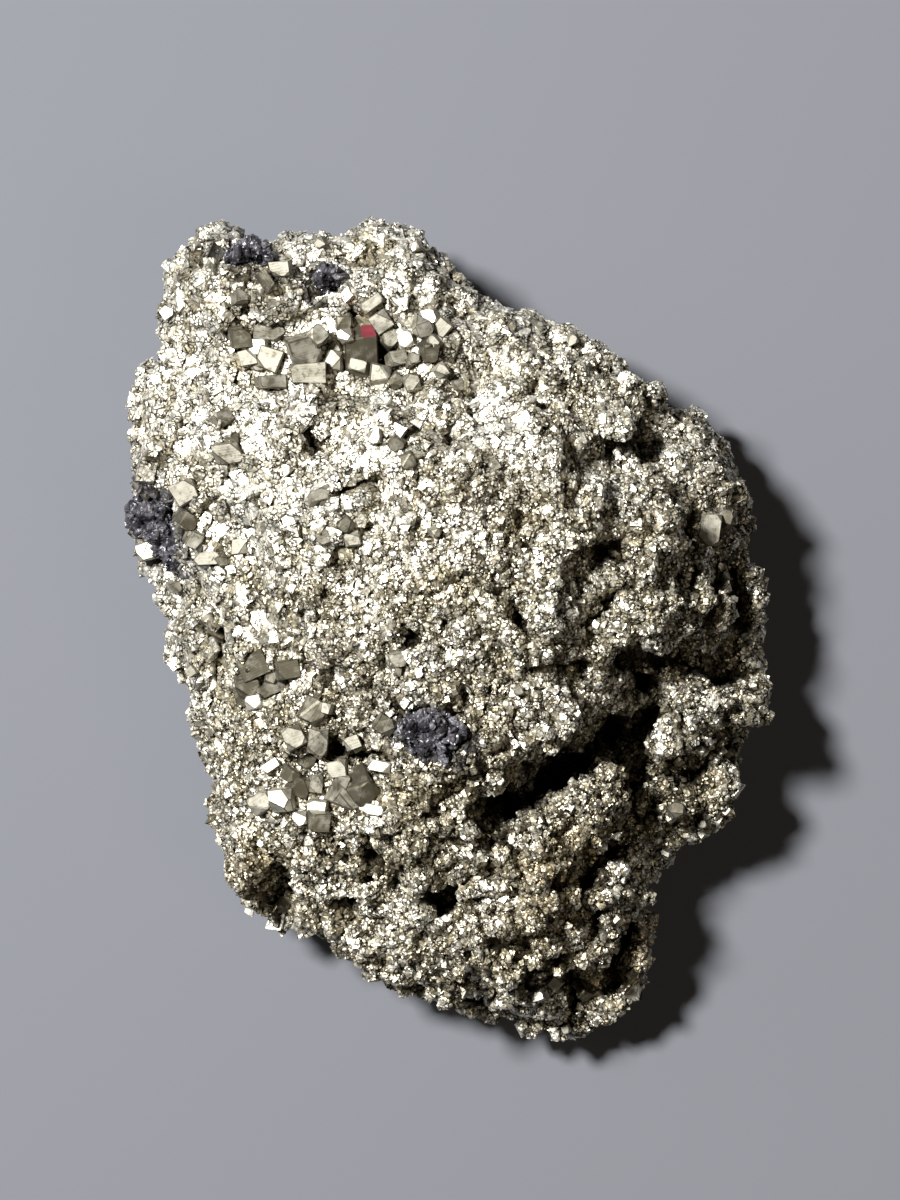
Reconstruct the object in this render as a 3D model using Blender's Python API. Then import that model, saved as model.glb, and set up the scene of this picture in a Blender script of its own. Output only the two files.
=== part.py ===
"""A pyrite hand specimen: one mass of granular pyrite, lobed and creviced, with cube crystals grown into its
hollows, and four lumps of a dark mineral seated in its surface.

It lies as it was found, widest face up: X to the right, Y up the long side, Z up. The origin is the middle of its
box at the table. Sizes in the tables are millimetres. Plan places are given as they line up with the girth, seen
from above, so those on the crown are drawn in towards the middle by CROWN_DRAW_IN.
"""

import math

import bmesh
import bpy
import numpy as np
from mathutils import Euler, Matrix, Vector, noise

MM = 0.001

# The girth is the widest ring, and its height falls from the upper left to the lower right.
GIRTH_HEIGHT = 12.5
GIRTH_SWING = 4.5
GIRTH_HIGH_SIDE = math.radians(125)
CROWN_RISE = 20.0
CROWN_DRAW_IN = 0.957

# How the section rounds from the middle (0) out to the girth (1).
PLAN_POWER = 0.6
SHOULDER_POWER = 0.45
UNDERSIDE_POWER = 0.6
SPHERE_CUTS = 7
MASS_TRIANGLE_SHARE = 0.066

# Broken rock all over, in layers of wavelength and depth. The rim gets less, so that the outline holds. The bands
# are shares of the way from the girth (0) to the middle of a face (1).
ROUGH_LAYERS = ((11.0, 2.0), (5.0, 2.0), (2.6, 1.0))
OUTWARD_STEEPNESS = 1.8
RIM_ROUGHNESS = 0.35
RIM_BAND = 0.35
BASE_ROUGHNESS = 1.5
BASE_TRIM = 0.3
BASE_BAND = 0.5
BASE_FLATNESS = 0.15

# The outline of the girth, clockwise from the upper left shoulder.
OUTLINE = (
    (-22.5, 41.3), (-21.0, 41.0), (-18.8, 40.0), (-15.8, 40.7), (-11.5, 41.1), (-7.5, 41.3), (-4.2, 41.3),
    (-2.2, 40.4), (-0.2, 38.6), (3.0, 34.6), (7.0, 32.3), (12.5, 31.1), (15.0, 29.2), (20.0, 25.5), (23.5, 23.4),
    (27.0, 19.8), (29.2, 16.2), (30.0, 12.7), (31.2, 7.2), (31.7, 3.2), (31.5, -1.8), (32.0, -5.8),
    (30.7, -10.3), (29.2, -14.3), (28.5, -16.8), (26.0, -19.6), (23.0, -21.1), (21.3, -23.8), (20.5, -27.3),
    (20.5, -32.3), (19.8, -35.3), (17.0, -36.8), (15.0, -39.6), (12.0, -41.1), (9.5, -39.8), (4.5, -38.6),
    (0.5, -37.1), (-4.0, -36.0), (-9.0, -33.0), (-12.5, -29.9), (-15.5, -30.0), (-19.5, -28.6),
    (-21.7, -25.8), (-23.2, -20.8), (-23.4, -14.8), (-25.3, -9.3), (-25.7, -5.8), (-27.8, 0.0), (-30.0, 6.2),
    (-31.4, 11.2), (-31.6, 19.2), (-31.9, 24.2), (-31.4, 27.0), (-28.9, 28.2), (-29.4, 32.2), (-28.0, 37.2),
    (-25.5, 40.0),
)

# Heights of the crown's valleys and broad slopes: x, y, height. Each station's pull falls off as a bell curve.
SLOPE_REACH = 2.875
SLOPES = (
    (-26, 38, 23), (-20, 39, 26), (-13, 38, 27), (-6, 38, 26), (-2, 37.5, 22),
    (-28, 33, 23), (-21, 34, 29), (-13, 34, 29.5), (-6, 33, 29), (1, 33, 25),
    (-28, 29, 24), (-21, 29.5, 26.5), (-15, 29.5, 26.5), (-8, 29.5, 27.5), (-2, 29, 29), (6, 30, 26), (13, 28, 26),
    (-30, 23, 23), (-22, 23, 30.5), (-13, 23, 33.5), (-3, 23, 33.5), (7, 23, 32), (17, 23, 28), (22, 22, 20),
    (-30, 16, 22), (-22, 16, 30.5), (-12, 16, 34.5), (-2, 16, 35.5), (8, 16, 34.5), (17, 16, 30), (26, 16, 19),
    (-30, 9, 18), (-23, 9, 27.5), (-13, 9, 34), (-2, 9, 36.5), (8, 9, 36), (17, 9, 31), (24, 9, 24), (29, 9, 15),
    (-26, 1, 21), (-19, 1, 28.5), (-11, 1, 33.5), (-1, 1, 36), (9, 1, 36.5), (17, 1, 32), (23, 1, 25), (30, 1, 15),
    (-23, -5, 22.5), (-18, -5, 26.5), (-11, -5, 32), (-2, -6, 35), (7, -6, 35.5), (13, -5, 29), (19, -6, 20),
    (28, -6, 18), (-23.5, -11, 21.5), (-18, -11, 26), (-12, -11, 28), (-5, -11, 32.5), (3, -11, 35), (8, -11, 31),
    (15, -11, 19), (21, -11, 17), (27, -11, 14), (-21, -16, 24.5), (-15, -16, 28.5), (-8, -16, 30.5), (-1, -16, 32.5),
    (4, -16, 29), (11, -16, 20), (17, -16, 19), (23, -16, 15), (28, -15, 11), (-21, -21, 22.5), (-13, -21, 29.5),
    (-5, -21, 31.5), (3, -21, 27.5), (11, -21, 24), (17, -21, 17), (21, -21, 12), (-21, -25, 18), (-16, -26, 17),
    (-11, -26, 25.5), (-3, -26, 28.5), (5, -26, 25.5), (11, -26, 21), (17, -26, 13), (20, -26, 9),
    (-10, -30.5, 18), (-3, -31, 24), (4, -31, 22), (11, -31, 18), (17, -32, 11), (20, -33, 7),
    (-3, -34.5, 14), (3, -35, 14), (9, -35.5, 10), (15, -36, 9), (5, -37.5, 8), (11, -38.5, 8),
)

# Lobes that stand out of those slopes: name, x, y, half length, half width, turn in degrees, top, how far its
# edge lies below its top.
LOBE_ROUNDNESS = 1.5
LOBES = (
    ("upper left brow", -21.0, 35.2, 7.5, 4.0, 0, 31.0, 3.0),
    ("upper middle brow", -8.0, 36.2, 6.5, 4.2, -5, 30.6, 3.0),
    ("left shoulder", -27.0, 32.2, 4.0, 2.8, 85, 26.5, 2.5),
    ("left bank", -29.6, 20.0, 6.0, 2.4, 90, 26.0, 2.6),
    ("top right bank", 11.0, 28.2, 6.0, 3.2, -25, 31.5, 3.0),
    ("right brow", 17.2, 23.0, 3.6, 2.5, 80, 34.0, 2.6),
    ("right shelf", 24.0, 17.6, 4.2, 3.2, -50, 27.5, 3.2),
    ("bright knob", 10.8, 18.6, 3.4, 2.9, 80, 37.2, 1.6),
    ("summit", 14.0, 13.2, 5.6, 5.0, 0, 37.0, 2.6),
    ("summit foot", 20.2, 9.0, 5.6, 2.6, 55, 34.6, 2.6),
    ("right hip", 21.6, 3.4, 5.0, 4.0, 80, 33.0, 3.4),
    ("first rib", 25.6, 7.0, 7.5, 1.4, 90, 27.5, 3.0),
    ("second rib", 27.8, 5.6, 8.0, 1.2, 92, 22.5, 3.0),
    ("third rib", 30.2, 2.4, 6.5, 1.1, 93, 17.5, 3.0),
    ("belt under the hip", 26.0, -5.8, 5.6, 2.7, 12, 25.5, 3.4),
    ("belt's lower knob", 22.4, -10.6, 3.8, 2.6, 10, 23.5, 3.2),
    ("right heel", 25.0, -15.2, 4.2, 2.8, 20, 19.5, 3.4),
    ("heel's toe", 21.2, -18.8, 2.6, 2.2, 0, 15.5, 3.0),
    ("gorge island", 12.8, -4.6, 2.6, 1.8, 20, 32.0, 2.4),
    ("gorge lip", 11.2, -8.6, 3.4, 1.7, 35, 31.5, 2.6),
    ("gorge lobe", 15.0, -16.8, 4.2, 5.2, 0, 27.5, 3.4),
    ("gorge foot", 8.0, -19.8, 4.6, 2.5, -5, 29.0, 2.6),
    ("lower lobe", 18.0, -25.8, 3.7, 2.3, 82, 19.5, 3.6),
    ("lowest lobe", 18.6, -33.0, 3.1, 2.1, 65, 14.0, 3.2),
    ("foot", 8.6, -37.0, 6.8, 2.6, -14, 11.5, 2.6),
    ("foot's knob", 12.8, -36.0, 2.8, 2.2, 20, 13.0, 2.6),
    ("lower belly", 6.0, -24.8, 7.6, 4.8, -5, 29.2, 2.8),
    ("belly's fold", 2.0, -31.8, 5.6, 3.6, -12, 26.4, 2.8),
    ("belly's right fold", 11.0, -29.8, 5.0, 3.0, 20, 24.0, 2.8),
    ("lower left lobe", -21.0, -22.0, 5.2, 2.9, 80, 24.0, 2.8),
    ("lower left toe", -15.2, -28.4, 2.8, 1.6, 5, 15.5, 2.4),
)

# Crevices: half width, then x, y and depth at each turn. Their flanks end a little outside that width.
CREVICE_FLANK = 1.5
CREVICE_STEEPNESS = 3
CREVICES = (
    (0.75, (17.0, 13.4, 2.2), (17.6, 11.0, 3.6), (16.2, 9.2, 3.8), (14.2, 7.6, 1.8)),
    (0.85, (20.2, 10.8, 1.8), (19.0, 8.7, 2.4), (18.2, 6.7, 2.6), (15.8, 4.0, 2.2), (14.8, 3.0, 1.2)),
    (0.75, (12.5, 21.2, 1.8), (13.4, 18.7, 2.6), (13.0, 15.4, 2.6), (12.4, 14.0, 1.2)),
    (0.85, (13.0, 18.4, 2.2), (15.5, 19.4, 2.8), (19.0, 19.8, 3.2)),
    (0.90, (19.7, 25.7, 3.2), (20.0, 23.2, 5.0), (20.2, 20.0, 5.0)),
    (1.00, (17.0, -3.0, 4.0), (20.0, -2.4, 6.0), (24.0, -2.3, 5.5), (27.5, -3.0, 4.0), (31.2, -3.2, 3.0)),
    (0.60, (11.5, -2.3, 1.4), (13.5, -2.3, 1.8)),
    (1.30, (4.8, -16.8, 7.0), (6.0, -16.6, 8.0), (7.5, -15.2, 7.5), (9.8, -13.6, 8.0), (12.5, -12.0, 8.5),
     (15.0, -10.3, 8.0), (17.5, -8.8, 6.5), (19.5, -8.0, 5.5), (21.5, -7.1, 3.0)),
    (0.90, (19.0, -11.0, 4.0), (19.6, -14.3, 5.5), (19.5, -16.8, 5.5), (19.2, -20.0, 4.0)),
    (0.95, (15.6, -21.6, 4.5), (19.0, -20.8, 4.0)),
    (0.90, (15.0, -21.8, 4.0), (14.0, -23.8, 6.0), (13.7, -25.8, 6.0), (14.5, -28.3, 5.0), (15.2, -29.8, 3.0)),
    (0.70, (19.0, -28.3, 3.5), (17.2, -30.8, 4.0), (16.5, -33.3, 3.0)),
    (0.95, (1.5, -36.6, 2.5), (5.5, -35.8, 4.0), (8.0, -34.4, 4.5), (11.0, -32.7, 3.5)),
    (0.65, (7.2, -28.3, 1.8), (6.8, -29.8, 3.2), (5.0, -30.8, 3.0), (3.8, -30.6, 1.5)),
    (0.65, (11.2, -23.3, 2.2), (11.0, -25.8, 2.6)),
    (0.55, (-7.8, -21.8, 1.0), (-8.2, -24.8, 1.6)),
    (0.55, (3.0, -22.3, 1.2), (6.2, -22.8, 1.6), (9.5, -21.6, 1.2)),
    (0.60, (12.5, -34.3, 2.0), (12.2, -37.5, 2.4)),
    (0.70, (24.0, 15.2, 2.6), (24.8, 9.2, 3.0), (25.0, 3.2, 3.0), (25.0, -1.3, 2.6)),
    (0.60, (26.8, 13.5, 2.0), (26.9, 6.0, 2.4), (26.6, -0.8, 2.4)),
    (0.60, (29.2, 12.0, 2.0), (29.2, 5.0, 2.4), (28.8, -1.2, 2.4)),
    (0.70, (20.0, -13.6, 3.0), (24.0, -13.2, 3.4), (28.5, -11.3, 2.6)),
    (0.60, (-15.0, 12.2, 1.2), (-14.4, 9.2, 1.8)),
    (0.70, (-10.5, 9.7, 1.2), (-11.5, 7.2, 2.0)),
    (0.60, (5.0, 19.2, 1.0), (3.5, 16.2, 1.4), (1.5, 14.2, 0.8)),
    (1.00, (-21.5, 31.3, 1.6), (-16.0, 31.0, 2.4), (-12.0, 31.0, 1.8)),
    (0.55, (-18.8, -2.8, 1.2), (-17.2, -1.8, 2.0), (-15.3, -2.0, 2.2), (-14.5, -3.0, 1.5)),
    (0.55, (-13.0, -11.8, 1.4), (-9.5, -11.2, 2.0), (-6.4, -11.2, 2.2)),
)

# Round hollows: x, y, half length, half width, turn in degrees, depth. Their rims lie a little outside that size.
HOLLOW_RIM = 2
HOLLOWS = (
    (-13.8, 20.2, 0.75, 0.95, 0, 2.4), (-25.6, 17.0, 0.6, 0.7, 0, 1.8), (-23.3, 0.5, 0.7, 0.9, 0, 1.8),
    (-9.8, 15.4, 1.0, 0.6, 0, 2.0), (-3.7, 21.7, 0.9, 1.1, 0, 2.0), (-0.5, 20.7, 1.0, 0.7, 0, 2.0),
    (9.5, 21.4, 1.1, 0.7, 0, 2.2), (-3.8, 0.4, 0.8, 1.1, -30, 2.4), (-0.8, 2.0, 0.8, 1.0, 0, 1.8),
    (-5.6, -6.1, 0.8, 1.0, 20, 2.0), (-6.7, 28.9, 1.3, 1.2, 0, 3.0), (-16.0, 30.6, 1.2, 0.8, 0, 2.2),
    (-8.6, 32.9, 1.2, 0.9, 10, 2.4), (-1.5, -26.1, 1.4, 1.0, 0, 3.4), (0.5, -18.6, 0.6, 0.7, 0, 1.4),
    (7.2, 2.4, 0.7, 1.4, 0, 2.0), (13.0, -4.8, 1.5, 1.1, 0, 2.5), (19.0, -4.8, 1.1, 1.2, 0, 5.0),
    (5.7, -16.6, 1.5, 1.1, 0, 3.4), (-12.0, -10.5, 0.9, 1.3, 0, 1.8), (-7.0, -11.3, 1.3, 0.9, 0, 2.2),
    (-16.6, -26.0, 2.4, 2.4, 0, 3.6), (-18.8, -2.8, 3.2, 2.2, 20, 1.6), (-12.5, -12.0, 6.0, 4.6, 0, 1.6),
    (-12.5, 29.6, 7.0, 2.4, 0, 1.2),
)

# Crystals large enough to see from a step away: x, y, edge, length over edge, turn, and how far the top leans to
# the right and up the long side, in degrees.
CRYSTALS = (
    (-21.0, 30.5, 1.9, 1.0, 2, 14, 10), (-18.3, 30.8, 1.4, 2.2, -8, 8, 22), (-19.2, 29.6, 1.5, 1.2, 0, -12, 0),
    (-20.2, 28.4, 1.5, 1.1, 12, -16, -6), (-18.0, 28.3, 2.3, 1.0, -20, -30, -5), (-14.5, 29.1, 2.9, 1.0, 18, 12, -14),
    (-13.3, 30.6, 1.7, 1.0, 42, 20, 15), (-14.2, 26.9, 1.9, 1.8, 3, -6, -12), (-11.6, 28.2, 1.9, 1.0, -4, -16, -4),
    (-9.0, 29.9, 2.5, 1.25, 8, 8, 52), (-10.7, 32.0, 1.4, 1.0, 5, 12, 16), (-6.8, 32.1, 2.0, 1.0, 35, -20, 8),
    (-6.1, 30.6, 1.9, 1.0, 50, 16, 6), (-4.3, 30.4, 1.5, 1.0, 18, -12, 0), (-2.9, 31.4, 1.9, 1.0, 60, 10, -14),
    (-2.0, 32.6, 1.5, 1.0, 20, -11, 3), (-0.7, 31.5, 1.5, 1.0, 48, -15, 4), (-2.0, 28.9, 1.4, 1.0, 2, 14, -10),
    (-5.2, 28.4, 1.5, 1.1, 12, -8, 16), (-7.0, 26.8, 2.1, 1.0, 80, -8, -10), (-3.8, 26.0, 1.7, 1.0, 15, -5, 8),
    (-1.0, 27.2, 1.4, 1.0, 33, -12, 0), (-17.0, 37.5, 1.7, 1.4, 5, -12, 8), (-21.0, 34.7, 1.4, 1.0, 4, -12, 0),
    (-22.8, 22.4, 1.9, 1.0, 30, 10, 12), (-22.3, 19.0, 2.9, 1.2, 12, -4, -8), (-26.5, 15.0, 2.7, 1.0, 28, -6, 6),
    (-25.5, 10.4, 1.7, 1.2, 65, 12, -14), (-24.3, 8.4, 1.5, 2.0, 5, -14, -14), (-26.2, 12.2, 1.8, 1.1, -32, 10, 10),
    (-21.0, 9.6, 1.8, 1.0, 4, -12, 8), (-22.8, 8.2, 1.4, 1.0, 40, 15, -10), (-10.4, 11.8, 1.7, 1.0, 42, 10, 14),
    (-9.8, 10.4, 1.7, 1.0, 10, -14, 8), (-12.6, 10.6, 1.5, 1.0, 24, 12, -10), (-7.5, 20.6, 1.5, 1.0, 12, -12, 8),
    (-5.4, 19.9, 1.7, 1.0, 50, 14, 8), (-4.2, 18.2, 1.7, 1.0, 20, 10, -14), (-19.8, -2.2, 2.6, 1.3, 25, 12, 14),
    (-20.2, -4.3, 2.2, 1.1, 20, 10, -12), (-16.3, -2.8, 1.9, 1.1, 10, 14, -12), (-19.6, -6.0, 1.5, 1.1, 10, -12, 0),
    (-13.7, -6.9, 2.2, 1.1, 62, 14, 10), (-13.2, -9.8, 1.9, 1.3, 88, -5, -8), (-15.6, -9.5, 2.1, 1.0, 25, -18, 6),
    (-11.2, -12.7, 1.7, 1.1, 6, -26, 4), (-15.2, -14.4, 1.7, 1.0, -18, 14, 12), (-16.7, -15.8, 2.3, 1.0, 5, -13, 0),
    (-18.8, -16.1, 2.1, 1.0, 30, -15, 5), (-10.3, -15.4, 2.1, 1.1, -24, 8, -12), (-8.6, -14.8, 2.2, 1.2, 40, 16, 12),
    (-10.7, -14.2, 1.4, 1.0, 15, -16, 6), (-13.1, -18.0, 1.9, 1.0, -4, 5, -14), (-5.2, -1.6, 1.7, 1.0, 15, -6, -12),
    (-6.5, -8.3, 1.8, 1.0, 58, 12, 10), (27.4, 12.2, 1.6, 1.0, 12, -12, 0), (26.0, 11.2, 2.1, 1.4, 85, 10, 0),
    (22.5, -16.8, 1.8, 1.0, 30, -12, 0), (8.7, -35.3, 1.5, 1.0, 22, -12, 4), (-30.4, 9.3, 2.0, 1.0, 15, -14, 0),
    (-28.2, 33.0, 1.5, 1.0, 35, -14, 4),
)
CRYSTAL_STANDS_PROUD = 0.22
CRYSTAL_ROOT = 1.0
CROWN_MIDDLE_HEIGHT = 30.0

# Dark mineral lumps: node, x, y, half length, half width, turn in degrees, half height.
DARK_LUMPS = (
    ("dark_mineral_top", -20.4, 38.8, 2.3, 1.6, 4, 1.8),
    ("dark_mineral_upper", -12.6, 36.4, 1.5, 1.3, 40, 1.3),
    ("dark_mineral_left", -28.4, 10.6, 4.9, 2.5, -52, 3.0),
    ("dark_mineral_middle", -1.9, -9.4, 3.3, 2.7, 10, 2.0),
)
DARK_CUTS = 4
DARK_ROUGHNESS = 0.32
DARK_KNOBS = 2.2
DARK_STANDS_PROUD = 0.30
DARK_TRIANGLE_SHARE = 0.20
SOCKET_GAP = 0.3

PYRITE = (0.62, 0.56, 0.36)
DARK_MINERAL = (0.055, 0.055, 0.07)


def clear_scene():
    """Removes whatever the file held."""
    for thing in list(bpy.data.objects):
        bpy.data.objects.remove(thing, do_unlink=True)


def make_material(name, colour, metallic, roughness):
    """One Principled finish."""
    material = bpy.data.materials.new(name)
    material.use_nodes = True
    shader = material.node_tree.nodes["Principled BSDF"]
    shader.inputs["Base Color"].default_value = (*colour, 1.0)
    shader.inputs["Metallic"].default_value = metallic
    shader.inputs["Roughness"].default_value = roughness
    return material


def girth_radius(angles):
    """How far the outline lies from the middle, at each angle."""
    points = np.array(OUTLINE)
    bearing = np.arctan2(points[:, 1], points[:, 0])
    order = np.argsort(bearing)
    points, bearing = points[order], bearing[order]
    after = np.searchsorted(bearing, angles) % len(points)
    start, end = points[after - 1], points[after]
    run = end - start
    across = start[:, 0] * run[:, 1] - start[:, 1] * run[:, 0]
    return across / (np.cos(angles) * run[:, 1] - np.sin(angles) * run[:, 0])


def turned(x, y, centre_x, centre_y, turn):
    """Places x, y seen from a centre, along and across a direction turned by so many degrees."""
    along, across = math.cos(math.radians(turn)), math.sin(math.radians(turn))
    return (
        (x - centre_x) * along + (y - centre_y) * across,
        (y - centre_y) * along - (x - centre_x) * across,
    )


def slope_height(x, y):
    """The broad slopes: each station's height, weighted by how near it is."""
    total, weight = np.zeros_like(x), np.full_like(x, 1e-9)
    for station_x, station_y, height in SLOPES:
        near = np.exp(-((x - station_x) ** 2 + (y - station_y) ** 2) / (2 * SLOPE_REACH**2))
        total += near * height
        weight += near
    return total / weight


def crevice_depth(x, y, half_width, turns):
    """How deep one crevice is under x, y: a steep trough along its line."""
    depth = np.zeros_like(x)
    for (x0, y0, depth0), (x1, y1, depth1) in zip(turns, turns[1:]):
        length = (x1 - x0) ** 2 + (y1 - y0) ** 2
        share = np.clip(((x - x0) * (x1 - x0) + (y - y0) * (y1 - y0)) / length, 0, 1)
        away = np.hypot(x - x0 - share * (x1 - x0), y - y0 - share * (y1 - y0)) / half_width
        here = (depth0 + share * (depth1 - depth0)) * np.clip(1 - (away / CREVICE_FLANK) ** CREVICE_STEEPNESS, 0, 1)
        depth = np.maximum(depth, here)
    return depth


def crown_height(x, y):
    """Height of the upper surface over plan places x, y, before its rough skin."""
    height = slope_height(x, y)
    for _, centre_x, centre_y, half_length, half_width, turn, top, fall in LOBES:
        along, across = turned(x, y, centre_x, centre_y, turn)
        reach = (along / half_length) ** 2 + (across / half_width) ** 2
        height = np.maximum(height, top - fall * reach**LOBE_ROUNDNESS)
    cut = np.zeros_like(x)
    for half_width, *turns in CREVICES:
        cut = np.maximum(cut, crevice_depth(x, y, half_width, turns))
    for centre_x, centre_y, half_length, half_width, turn, depth in HOLLOWS:
        along, across = turned(x, y, centre_x, centre_y, turn)
        reach = (along / half_length) ** 2 + (across / half_width) ** 2
        cut = np.maximum(cut, depth * np.clip(1 - reach / HOLLOW_RIM, 0, 1))
    return height - cut


def rough(points, strength):
    """Rough rock at points: a signed distance for each."""
    found = []
    for point, share in zip(points, strength):
        spot = Vector(point)
        height = sum(
            depth * noise.noise(spot / size + Vector((size, 0, 0))) for size, depth in ROUGH_LAYERS
        )
        found.append(share * height)
    return np.array(found)


def shaped(directions):
    """The mass's surface point for each direction from the middle of a unit sphere."""
    flat = np.hypot(directions[:, 0], directions[:, 1])
    angle = np.arctan2(directions[:, 1], directions[:, 0])
    up = directions[:, 2]
    steep = np.abs(up)
    share = flat**PLAN_POWER
    reach = share * girth_radius(angle)
    x, y = reach * np.cos(angle), reach * np.sin(angle)
    girth = GIRTH_HEIGHT + GIRTH_SWING * np.cos(angle - GIRTH_HIGH_SIDE)
    crown = girth + (crown_height(x, y) - girth) * steep**SHOULDER_POWER
    underside = girth * (1 - steep**UNDERSIDE_POWER)
    is_crown = up > 0
    z = np.where(is_crown, crown, underside)
    lift = np.clip((z - girth) / CROWN_RISE, 0, 1)
    draw_in = 1 - (1 - CROWN_DRAW_IN) * lift
    return np.stack([x * draw_in, y * draw_in, z], axis=1), steep, is_crown


def roughened(points, steep, is_crown):
    """The surface pushed in and out by broken rock, then trimmed flat where it meets the table."""
    middle = np.array([0.0, 0.0, GIRTH_HEIGHT])
    outward = points - middle
    outward[:, 2] *= OUTWARD_STEEPNESS
    outward /= np.linalg.norm(outward, axis=1)[:, None]
    rim = RIM_ROUGHNESS + (1 - RIM_ROUGHNESS) * np.clip(steep / RIM_BAND, 0, 1)
    strength = np.where(is_crown, rim, rim * BASE_ROUGHNESS)
    moved = points + outward * rough(points, strength)[:, None]
    moved[:, 2] = np.where(is_crown, moved[:, 2], moved[:, 2] - BASE_TRIM * np.clip(steep / BASE_BAND, 0, 1))
    moved[:, 2] = np.maximum(moved[:, 2], 0.0)
    return moved


def link(mesh, name, material):
    """A new object in the scene."""
    thing = bpy.data.objects.new(name, mesh)
    bpy.context.scene.collection.objects.link(thing)
    mesh.materials.append(material)
    return thing


def read_points(mesh):
    """A mesh's vertices as rows of x, y, z."""
    points = np.empty(len(mesh.vertices) * 3, np.float32)
    mesh.vertices.foreach_get("co", points)
    return points.reshape(-1, 3).astype(float)


def sphere_mesh(name, cuts):
    """A unit sphere of even triangles."""
    shape = bmesh.new()
    bmesh.ops.create_icosphere(shape, subdivisions=cuts, radius=1.0)
    mesh = bpy.data.meshes.new(name)
    shape.to_mesh(mesh)
    shape.free()
    return mesh


def make_mass(material):
    """The pyrite mass before its crystals and sockets."""
    mesh = sphere_mesh("pyrite_mass", SPHERE_CUTS)
    points, steep, is_crown = shaped(read_points(mesh))
    mesh.vertices.foreach_set("co", (roughened(points, steep, is_crown) * MM).astype(np.float32).ravel())
    mesh.update()
    mass = link(mesh, "pyrite_mass", material)
    thin = mass.modifiers.new("Fewer faces", "DECIMATE")
    thin.ratio = MASS_TRIANGLE_SHARE
    mass.data = bpy.data.meshes.new_from_object(mass.evaluated_get(bpy.context.evaluated_depsgraph_get()))
    mass.data.name = "pyrite_mass"
    mass.modifiers.remove(thin)
    for vertex in mass.data.vertices:
        if vertex.co.z < BASE_FLATNESS * MM:
            vertex.co.z = 0.0
    mass.data.update()
    return mass


def box_middle(mesh):
    """The middle of a mesh's box, seen from above."""
    points = read_points(mesh)
    middle = (points.min(axis=0) + points.max(axis=0)) / 2
    return Vector((middle[0], middle[1], 0.0))


def centre_on_origin(mass):
    """Parents everything to an empty, placed so that the mass's box is centred on the origin."""
    carrier = bpy.data.objects.new("specimen", None)
    bpy.context.scene.collection.objects.link(carrier)
    for thing in bpy.data.objects:
        if thing is not carrier:
            thing.parent = carrier
    carrier.location = -box_middle(mass.data)


def surface_height(mass_mesh, x, y):
    """Height of the mass straight above plan place x, y, in metres."""
    hit, place, _, _ = mass_mesh.ray_cast(Vector((x, y, 0.1)), Vector((0, 0, -1)))
    return place.z if hit else 0.0


def drawn_in(x, y, height):
    """A plan place given at the girth, as it lies on the crown at that height, in metres."""
    lift = min(max((height / MM - GIRTH_HEIGHT) / CROWN_RISE, 0.0), 1.0)
    share = 1 - (1 - CROWN_DRAW_IN) * lift
    return x * MM * share, y * MM * share


def seat(mass, x, y):
    """Where a thing given at plan place x, y meets the crown."""
    guess = drawn_in(x, y, CROWN_MIDDLE_HEIGHT * MM)
    height = surface_height(mass, *guess)
    place = drawn_in(x, y, height)
    return Vector((*place, surface_height(mass, *place)))


def make_crystals(mass, material):
    """A hidden collection of cube crystals, each rooted in the mass."""
    group = bpy.data.collections.new("Crystals")
    for number, (x, y, edge, stretch, turn, right, up) in enumerate(CRYSTALS, 1):
        shape = bmesh.new()
        bmesh.ops.create_cube(shape, size=edge * MM)
        bmesh.ops.scale(shape, vec=(stretch, 1, 1), verts=shape.verts)
        foot = [vertex for vertex in shape.verts if vertex.co.z < 0]
        bmesh.ops.translate(shape, vec=(0, 0, -CRYSTAL_ROOT * edge * MM), verts=foot)
        lean = Euler((math.radians(-up), math.radians(right), 0)).to_matrix().to_4x4()
        attitude = lean @ Matrix.Rotation(math.radians(turn), 4, "Z")
        place = seat(mass, x, y) + Vector((0, 0, CRYSTAL_STANDS_PROUD * edge * MM))
        bmesh.ops.transform(shape, matrix=Matrix.Translation(place) @ attitude, verts=shape.verts)
        mesh = bpy.data.meshes.new(f"crystal_{number:02d}")
        shape.to_mesh(mesh)
        shape.free()
        mesh.materials.append(material)
        crystal = bpy.data.objects.new(mesh.name, mesh)
        crystal.hide_render = True
        crystal.display_type = "WIRE"
        group.objects.link(crystal)
    bpy.context.scene.collection.children.link(group)
    return group


def dark_lump_mesh(name, mass, row, grown):
    """One lump's mesh in place, its half sizes grown by so many millimetres."""
    _, x, y, half_length, half_width, turn, half_height = row
    mesh = sphere_mesh(name, DARK_CUTS)
    half = Vector((half_length, half_width, half_height))
    place = seat(mass, x, y) + Vector((0, 0, (DARK_STANDS_PROUD - 0.5) * half_height * MM))
    moved = []
    for vertex in mesh.vertices:
        bump = 1 + DARK_ROUGHNESS * noise.noise(vertex.co * DARK_KNOBS + Vector((x, y, 0)))
        size = Vector(side * bump + grown for side in half)
        moved.append(Vector(a * b for a, b in zip(vertex.co, size)) * MM)
    frame = Matrix.Translation(place) @ Matrix.Rotation(math.radians(turn), 4, "Z")
    for vertex, point in zip(mesh.vertices, moved):
        vertex.co = frame @ point
    return mesh


def make_dark_lump(mass, row, material):
    """One dark lump and the hidden cutter for its socket."""
    lump = link(dark_lump_mesh(row[0], mass, row, 0.0), row[0], material)
    thin = lump.modifiers.new("Fewer faces", "DECIMATE")
    thin.ratio = DARK_TRIANGLE_SHARE
    cutter = link(dark_lump_mesh(row[0] + "_socket", mass, row, SOCKET_GAP), row[0] + "_socket", material)
    cutter.hide_render = True
    cutter.display_type = "WIRE"
    thin = cutter.modifiers.new("Fewer faces", "DECIMATE")
    thin.ratio = DARK_TRIANGLE_SHARE
    return cutter


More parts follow.
